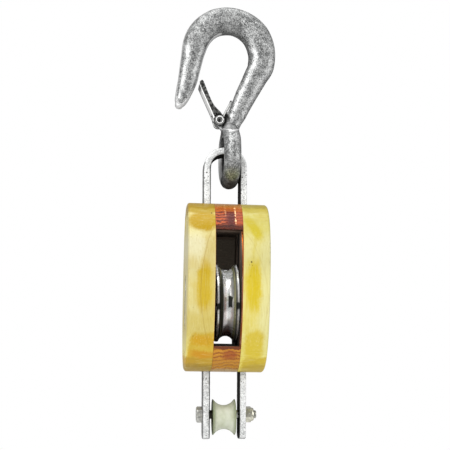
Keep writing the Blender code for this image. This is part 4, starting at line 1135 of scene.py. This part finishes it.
def box_mesh(name, lo, hi):
    verts = [(x, y, z) for x in (lo[0], hi[0]) for y in (lo[1], hi[1]) for z in (lo[2], hi[2])]
    return from_arrays(name, verts, [(0, 1, 3, 2), (4, 6, 7, 5), (0, 4, 5, 1), (2, 3, 7, 6), (0, 2, 6, 4), (1, 5, 7, 3)])


for tag in ("upper", "lower"):
    sp = tube(tag + "_spacer_wood", plate_rings(-SLOT + 0.04, SLOT - 0.04, 0.12, 0.12, 16))
    # a front-to-back slice of the oval, cut square where it faces the sheave
    if tag == "upper":
        boolean(sp, box_mesh("cut", (-20, -80, -90), (20, 80, 33.0)))
        boolean(sp, box_mesh("cut", (-20, -80, 20.0), (20, 28.0, TOP_OF_SLOT)))
    else:
        boolean(sp, box_mesh("cut", (-20, -80, FOOT_OF_SLOT), (20, 80, 110)))
    bevel(sp, 0.12, 1, 60)
    sp.data.shade_smooth()
    sp.data.set_sharp_from_angle(angle=math.radians(32))
    sp.modifiers.new("wn", "WEIGHTED_NORMAL").keep_sharp = True
    sp.data.materials.append(end_grain(tag + "_end_grain", tag == "upper"))
    askew(sp)
    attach(sp, "block")
    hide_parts(tag + "_spacer")

# ---------------------------------------------------------------------------
# main sheave
# ---------------------------------------------------------------------------
n = Nodes("sheave_zinc")
xyz = n.xyz()
cloud = n.noise(n.scaled(90, 90, 90), 1.0, 4, 0.6)
turnm = n.noise(n.scaled(2600, 6, 6), 1.0, 2, 0.6)
off = n.math("MULTIPLY", n.math("ADD", n.math("MULTIPLY", xyz[0], 1000.0), 0.15), 0.98)
ax = n.math("ABSOLUTE", off)
side_band = n.math("MULTIPLY", n.step(ax, 4.3, 5.3), n.step(ax, 6.4, 6.9, 1.0, 0.0))
inner_lip = n.math("MULTIPLY", n.step(ax, 6.1, 6.6), n.step(ax, 7.7, 8.3, 1.0, 0.0))
col = n.mix(n.step(cloud, 0.35, 0.7), srgb(214, 217, 217), srgb(236, 238, 236))
col = n.mix(n.math("MULTIPLY", side_band, 0.8), col, srgb(150, 148, 84))
tone = n.math("MULTIPLY", n.step(n.noise(n.scaled(30, 120, 120), 1.0, 3, 0.6), 0.5, 0.66), 0.4)
col = n.mix(tone, col, srgb(176, 176, 120))
# painted reflections: whatever stands before the block shows dark in the plating, wherever the sheave has turned to
geo = n.n("NewGeometry")
nrm = n.xyz(geo.outputs["Normal"])


def band(x, lo, hi, soft):
    return n.math("MULTIPLY", n.step(x, lo - soft, lo + soft), n.step(x, hi - soft, hi + soft, 1.0, 0.0))


faces_out = n.step(nrm[1], -0.45, -0.30, 1.0, 0.0)
in_groove = n.step(ax, 6.3, 6.7, 1.0, 0.0)
wav = n.math("MULTIPLY", n.math("SUBTRACT", cloud, 0.5), 0.25)
nz = n.math("ADD", nrm[2], wav)
sq = n.math("MULTIPLY", band(n.math("ADD", nrm[0], wav), -0.52, -0.02, 0.04), band(nz, -0.15, 0.20, 0.03))
painted_lip_reflection = n.math("MULTIPLY", band(nz, -0.17, -0.01, 0.03), n.math("SUBTRACT", 1.0, in_groove))
shade = n.math("MULTIPLY", n.math("MAXIMUM", n.math("MULTIPLY", sq, in_groove), painted_lip_reflection), faces_out)
# painted shade: dark olive on the groove's upper sides
high = n.math("MULTIPLY", n.step(nrm[2], 0.30, 0.62), n.step(ax, 4.2, 5.4))
high = n.math("MULTIPLY", high, in_groove)
col = n.mix(n.math("MULTIPLY", high, 0.62), col, srgb(84, 82, 50))
shade = n.math("MAXIMUM", shade, n.math("MULTIPLY", high, 0.35))
# painted shade on the flat flanks and, with a dark olive, in the crease inside each lip
flank = n.step(n.math("ABSOLUTE", nrm[0]), 0.9, 0.97)
shade = n.math("MAXIMUM", shade, n.math("MULTIPLY", flank, 0.9))
col = n.mix(n.math("MULTIPLY", inner_lip, 0.85), col, srgb(58, 56, 38))
shade = n.math("MAXIMUM", shade, n.math("MULTIPLY", inner_lip, 0.55))
# painted shade: a grey line just right of the groove's middle
right_of = n.math("MULTIPLY", n.math("MULTIPLY", n.step(off, 0.2, 1.2), n.step(off, 5.0, 5.6, 1.0, 0.0)), band(nz, 0.16, 0.62, 0.05))
col = n.mix(n.math("MULTIPLY", right_of, 0.6), col, srgb(96, 100, 98))
# painted shade on the groove's left side, next to the lip
painted_left_flank_shade = n.math("MULTIPLY", band(off, -7.6, -3.9, 0.35), faces_out)
shade = n.math("MAXIMUM", shade, n.math("MULTIPLY", painted_left_flank_shade, 0.96))
# painted highlight in the groove, which glows a little
white = n.math("MULTIPLY", band(off, -3.6, -0.2, 0.5), n.math("MAXIMUM", band(nz, 0.16, 0.50, 0.05), band(nz, -0.60, -0.22, 0.06)))
white = n.math("MULTIPLY", n.math("MULTIPLY", white, in_groove), faces_out)
col = n.mix(n.math("MULTIPLY", shade, 0.97), col, srgb(22, 24, 22))
# painted reflection of the orange spacer below, on faces turned down
warm = n.math("MULTIPLY", n.step(nrm[2], -0.62, -0.86), in_groove)
col = n.mix(n.math("MULTIPLY", warm, 0.8), col, srgb(120, 62, 36))
clean = n.math("SUBTRACT", 1.0, shade)
SHEAVE = n.done(col, n.math("ADD", n.step(cloud, 0.3, 0.7, 0.22, 0.34), n.math("MULTIPLY", shade, 0.3)), n.math("MULTIPLY", 0.62, clean),
                n.bump(turnm, 0.03, 0.0002, n.bump(cloud, 0.16, 0.002)), Specular_IOR_Level=n.math("MULTIPLY", 0.5, clean),
                Emission_Color=(1.0, 1.0, 1.0, 1.0), Emission_Strength=n.math("MULTIPLY", white, 0.30))

W, R, ROOT, GR, SET = 9.85, 35.0, 29.9, 7.2, 1.3
reach = math.sqrt(GR ** 2 - (GR - (R - 0.5 - ROOT)) ** 2)
groove = [(ROOT + GR - math.sqrt(GR ** 2 - (reach * (1 - 2 * i / 32)) ** 2), reach * (1 - 2 * i / 32)) for i in range(33)]
lip = [(R - 0.7, W), (R - 0.35, W - 0.1), (R - 0.1, W - 0.35), (R, W - 0.7), (R, reach + 0.75), (R - 0.1, reach + 0.35), (R - 0.3, reach + 0.1)]
prof = [(12.6, 9.8), (12.9, 10.0), (15.6, 10.0), (16.0, 9.8), (16.3, 5.4), (17.3, 4.2), (23.6, 4.2), (24.8, 5.0), (25.4, W - 0.3), (25.8, W)]
prof = prof + lip + groove + [(r, -h) for r, h in lip[::-1]] + [(r, -h) for r, h in prof[::-1]]
prof = [(r, h * 1.0203 - 0.15 if r > 24 else h) for r, h in prof]
sheave = lathe("main_sheave_turned", prof, (0, 0, 0), "X", 180, SHEAVE, 40)
sheave.location.x = SET * MM
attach(sheave, "sheave")
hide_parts("main_sheave")

# ---------------------------------------------------------------------------
# becket sheave, bolt and locknut
# ---------------------------------------------------------------------------
BZ = -101.5
n = Nodes("becket_nylon")
xyz = n.xyz()
cloud = n.noise(n.scaled(110, 110, 110), 1.0, 4, 0.6)
cutm = n.noise(n.scaled(2200, 12, 12), 1.0, 2, 0.6)
ax = n.math("ABSOLUTE", n.math("MULTIPLY", xyz[0], 1000.0))
col = n.mix(n.step(cloud, 0.3, 0.7), srgb(176, 180, 156), srgb(196, 199, 182))
col = n.mix(n.step(ax, 6.8, 10.2, 0.0, 0.85), col, srgb(108, 116, 84))
# painted shade along the edges that turn away from view
edge = n.n("LayerWeight")
edge.inputs["Blend"].default_value = 0.5
col = n.mix(n.step(edge.outputs["Facing"], 0.62, 0.95, 0.0, 0.8), col, srgb(112, 122, 72))
h = n.math("ADD", cutm, n.math("MULTIPLY", cloud, 0.4))
NYL = n.done(col, n.step(cutm, 0.3, 0.7, 0.34, 0.50), 0.0, n.bump(h, 0.22, 0.0003))
n.b.inputs["Subsurface Weight"].default_value = 0.35
n.b.inputs["Subsurface Radius"].default_value = (0.004, 0.0045, 0.0035)
n.b.inputs["Subsurface Scale"].default_value = 1.0

BH, BR, BROOT, BORE, DROP = 10.3, 16.4, 10.9, 6.7, 2.4
lipx = BH - 0.75
sag = BR - BROOT
br = (lipx * lipx + sag * sag) / (2 * sag)
curve = [(BROOT + br - math.sqrt(br * br - (lipx * (1 - 2 * i / 40)) ** 2), lipx * (1 - 2 * i / 40)) for i in range(41)]
curve[0], curve[-1] = (BR - 0.12, lipx + 0.12), (BR - 0.12, -lipx - 0.12)
prof = [(BORE, BH - 0.3), (BORE + 0.25, BH), (BR - 0.4, BH), (BR - 0.1, BH - 0.2), (BR, BH - 0.4)] + curve + \
       [(BR, -BH + 0.4), (BR - 0.1, -BH + 0.2), (BR - 0.4, -BH), (BORE + 0.25, -BH), (BORE, -BH + 0.3)]
becket = lathe("becket_sheave_turned", prof, (0, 0, BZ - DROP), "X", 128, NYL, 40)
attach(becket, "becket_roller")
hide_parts("becket_sheave")

BOLT = zinc("bolt_zinc", (214, 214, 208), 0.26, 0.9, 0.25)
HEX_R = 6.5 / math.cos(math.pi / 6)


def hex_body(name, x0, x1, spin, mat):
    """Hex prism whose x1 end is turned down to a chamfer."""
    d = 1 if x1 > x0 else -1
    rings = []
    seg = 60
    for x, lim in ((x0, 99), (x0 + d * 0.15, 99), (x1 - d * 1.3, 99), (x1 - d * 1.0, 7.35), (x1 - d * 0.7, 7.1), (x1 - d * 0.35, 6.75),
                   (x1 - d * 0.1, 6.3), (x1, 5.9), (x1, 3.0)):
        ring = []
        for i in range(seg):
            a = 2 * math.pi * i / seg + math.radians(spin)
            t = (2 * math.pi * i / seg) % (math.pi / 3) - math.pi / 6
            hexr = 6.5 / math.cos(t)
            hexr = min(hexr, 7.42)                        # the corners are very slightly rounded
            r = min(hexr, lim)
            ring.append(np.array([x, r * math.cos(a), BZ + r * math.sin(a)]))
        rings.append(ring)
    o = tube(name, rings if d > 0 else rings, mat=mat)
    o.data.shade_smooth()
    o.data.set_sharp_from_angle(angle=math.radians(24))
    return o


# shank with a cut thread on its last part
pitch, turns_x0, end_x = 1.25, 17.6, 29.8
rings = []
for x in np.concatenate([np.linspace(-20.4, turns_x0, 6), np.arange(turns_x0 + 0.16, end_x + 0.01, 0.16)]):
    ring = []
    for j in range(48):
        a = 2 * math.pi * j / 48
        r = 4.0
        if x > turns_x0:
            ph = ((x / pitch - a / (2 * math.pi)) % 1.0)
            r = 3.95 - 0.72 * abs(2 * ph - 1) ** 1.0
        r = min(r, 4.0 - max(0.0, x - (end_x - 0.9)) * 0.9)
        ring.append(np.array([x, r * math.cos(a), BZ + r * math.sin(a)]))
    rings.append(ring)
# painted shade: the shank's middle, between the strap's legs, gets a dark zinc
SHANK_SHADE_PAINT = zinc("shank_shade_paint_zinc", (66, 64, 58), 0.35, 0.9, 0.1)
shank = tube("becket_bolt_shank", rings, mat=BOLT)
shank.data.shade_smooth()
shank.data.set_sharp_from_angle(angle=math.radians(40))
shank.data.materials.append(SHANK_SHADE_PAINT)
for p in shank.data.polygons:
    if all(abs(shank.data.vertices[i].co.x) < 0.0132 for i in p.vertices):
        p.material_index = 1
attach(shank, "block")
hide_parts("becket_bolt")
head = hex_body("becket_bolt_head", -LEG_OUT - 0.3, -LEG_OUT - 5.6, 20, BOLT)
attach(head, "block")

NUT = zinc("nut_zinc", (214, 212, 196), 0.22, 0.95, 0.55)
nx = LEG_OUT + 0.3
nut = hex_body("becket_locknut_body", nx, nx + 5.6, 12, NUT)
bore = lathe("cut", [(4.3, -5 + nx), (4.3, nx + 9), (0, nx + 9), (0, nx - 5)], (0, 0, BZ), "X", 48)
boolean(nut, bore)
nut.data.shade_smooth()
nut.data.set_sharp_from_angle(angle=math.radians(24))
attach(nut, "block")
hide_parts("becket_locknut")
collar = lathe("becket_locknut_collar", [(5.2, nx + 5.3), (6.15, nx + 5.3), (6.1, nx + 6.2), (5.9, nx + 6.9), (5.5, nx + 7.4), (5.0, nx + 7.6),
                                         (4.6, nx + 7.5), (4.6, nx + 7.2), (5.0, nx + 7.1), (5.2, nx + 6.8)], (0, 0, BZ), "X", 72, NUT, 40)
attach(collar, "block")
insert = lathe("locknut_insert_ring", [(4.15, nx + 5.6), (5.1, nx + 5.6), (5.1, nx + 6.8), (4.9, nx + 7.0), (4.35, nx + 7.0), (4.15, nx + 6.7)],
               (0, 0, BZ), "X", 48, NYL, 40)
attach(insert, "block")
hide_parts("locknut_insert")

# ---------------------------------------------------------------------------
# pin plates, their screws, shell rivets and burrs
# ---------------------------------------------------------------------------
plate_in = FACE - POCKET + 0.2
for side, tag in ((-1, "left"), (1, "right")):
    plate = rounded_slab(tag + "_pin_plate_cut", 25.0, 10.0, 2.4, (side * (plate_in + 1.2), 0, 0), side)
    for k in (-1, 1):
        prof = [(0, side * (FACE + 3)), (4.7, side * (FACE + 3)), (4.7, side * (FACE - 0.4)), (2.3, side * (FACE - 2.8)),
                (2.3, side * (FACE - 8)), (0, side * (FACE - 8))]
        boolean(plate, lathe("cut", prof, (0, 0, 15 * k), "X", 40))
    bevel(plate, 0.35, 2, 50)
    s = plate.modifiers.new("wn", "WEIGHTED_NORMAL")
    plate.data.shade_smooth()
    plate.data.set_sharp_from_angle(angle=math.radians(35))
    m = len(plate.data.vertices)
    for nm in ("painted_shade", "shine", "painted_green_reflection"):
        paint(plate, nm, np.zeros(m))
    plate.data.materials.append(GALV_BAR)
    askew(plate)
    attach(plate, "block")
    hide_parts(tag + "_pin_plate")
    for k, pos in ((-1, "lower"), (1, "upper")):
        f = FACE - 3
        prof = [(0, side * (f + 2.55)), (3.2, side * (f + 2.5)), (3.6, side * (f + 2.3)), (3.75, side * (f + 2.1)), (1.8, side * (f + 0.1)),
                (1.8, side * (f - 6.0))]
        for t in range(6):                                # coarse wood thread
            prof += [(1.15, side * (f - 6.4 - t * 0.9)), (1.75, side * (f - 6.85 - t * 0.9))]
        prof += [(0.0, side * (f - 12.2))]
        screw = lathe(f"{tag}_{pos}_wood_screw", prof, (0, 0, 15 * k), "X", 32, ZINC, 40, closed=False)
        slot = box_mesh("cut", (side * (f + 1.6) - (0 if side > 0 else 3), -0.45, -6), (side * (f + 1.6) + (3 if side > 0 else 0), 0.45, 6))
        co = coords(slot)
        a = math.radians(35 if k < 0 else -20)
        rot = np.array([[1, 0, 0], [0, math.cos(a), -math.sin(a)], [0, math.sin(a), math.cos(a)]])
        set_coords(slot, co @ rot.T + np.array([0, 0, 15 * k]))
        boolean(screw, slot)
        screw.data.shade_smooth()
        screw.data.set_sharp_from_angle(angle=math.radians(35))
        askew(screw)
        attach(screw, "block")
        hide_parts(f"{tag}_plate_{pos}_screw")
BRASSY = zinc("burr_metal", (206, 176, 118), 0.28, 1.0, 0.2)
for z, zc in ((75.5, "upper"), (-49.5, "lower")):
    for k, fb in ((-1, "front"), (1, "rear")):
        h = FACE - 0.5
        prof = [(0, h + 0.1), (2.5, h), (4.2, h - 0.2), (5.2, h - 0.7), (5.6, h - 1.3), (5.5, h - 1.5), (2.9, h - 1.5), (2.9, -h + 1.0),
                (3.8, -h + 0.9), (4.0, -h + 0.6), (3.2, -h + 0.1), (1.8, -h), (0, -h + 0.15)]
        r = lathe(f"{zc}_{fb}_rivet_peened", prof, (0, 17.5 * k, z), "X", 40, BRASSY, 40, closed=False)
        askew(r)
        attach(r, "block")
        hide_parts(f"{zc}_{fb}_shell_rivet")
        w = lathe(f"{zc}_{fb}_burr", [(6.1, -FACE + 2.0), (6.2, -FACE + 1.8), (6.2, -FACE + 1.5), (6.0, -FACE + 1.35), (4.6, -FACE + 1.25),
                                      (3.2, -FACE + 1.3), (3.2, -FACE + 2.0)], (0, 17.5 * k, z), "X", 40, BRASSY, 40)
        askew(w)
        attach(w, "block")
        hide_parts(f"{zc}_{fb}_rivet_washer")

# pieces shown as the part has them: pin, bearing, thrust washers
for name in ["centre_pin", "bearing_sleeve", "left_thrust_washer", "right_thrust_washer"] + [f"bearing_roller_{i:02d}" for i in range(1, 11)]:
    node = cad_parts[name]
    node.data.materials.clear()
    node.data.materials.append(PIN)
    b = node.modifiers.new("edge", "BEVEL")
    b.width = 0.15 * MM
    b.segments = 2
    b.limit_method = "ANGLE"
    b.angle_limit = math.radians(50)

bpy.context.view_layer.update()
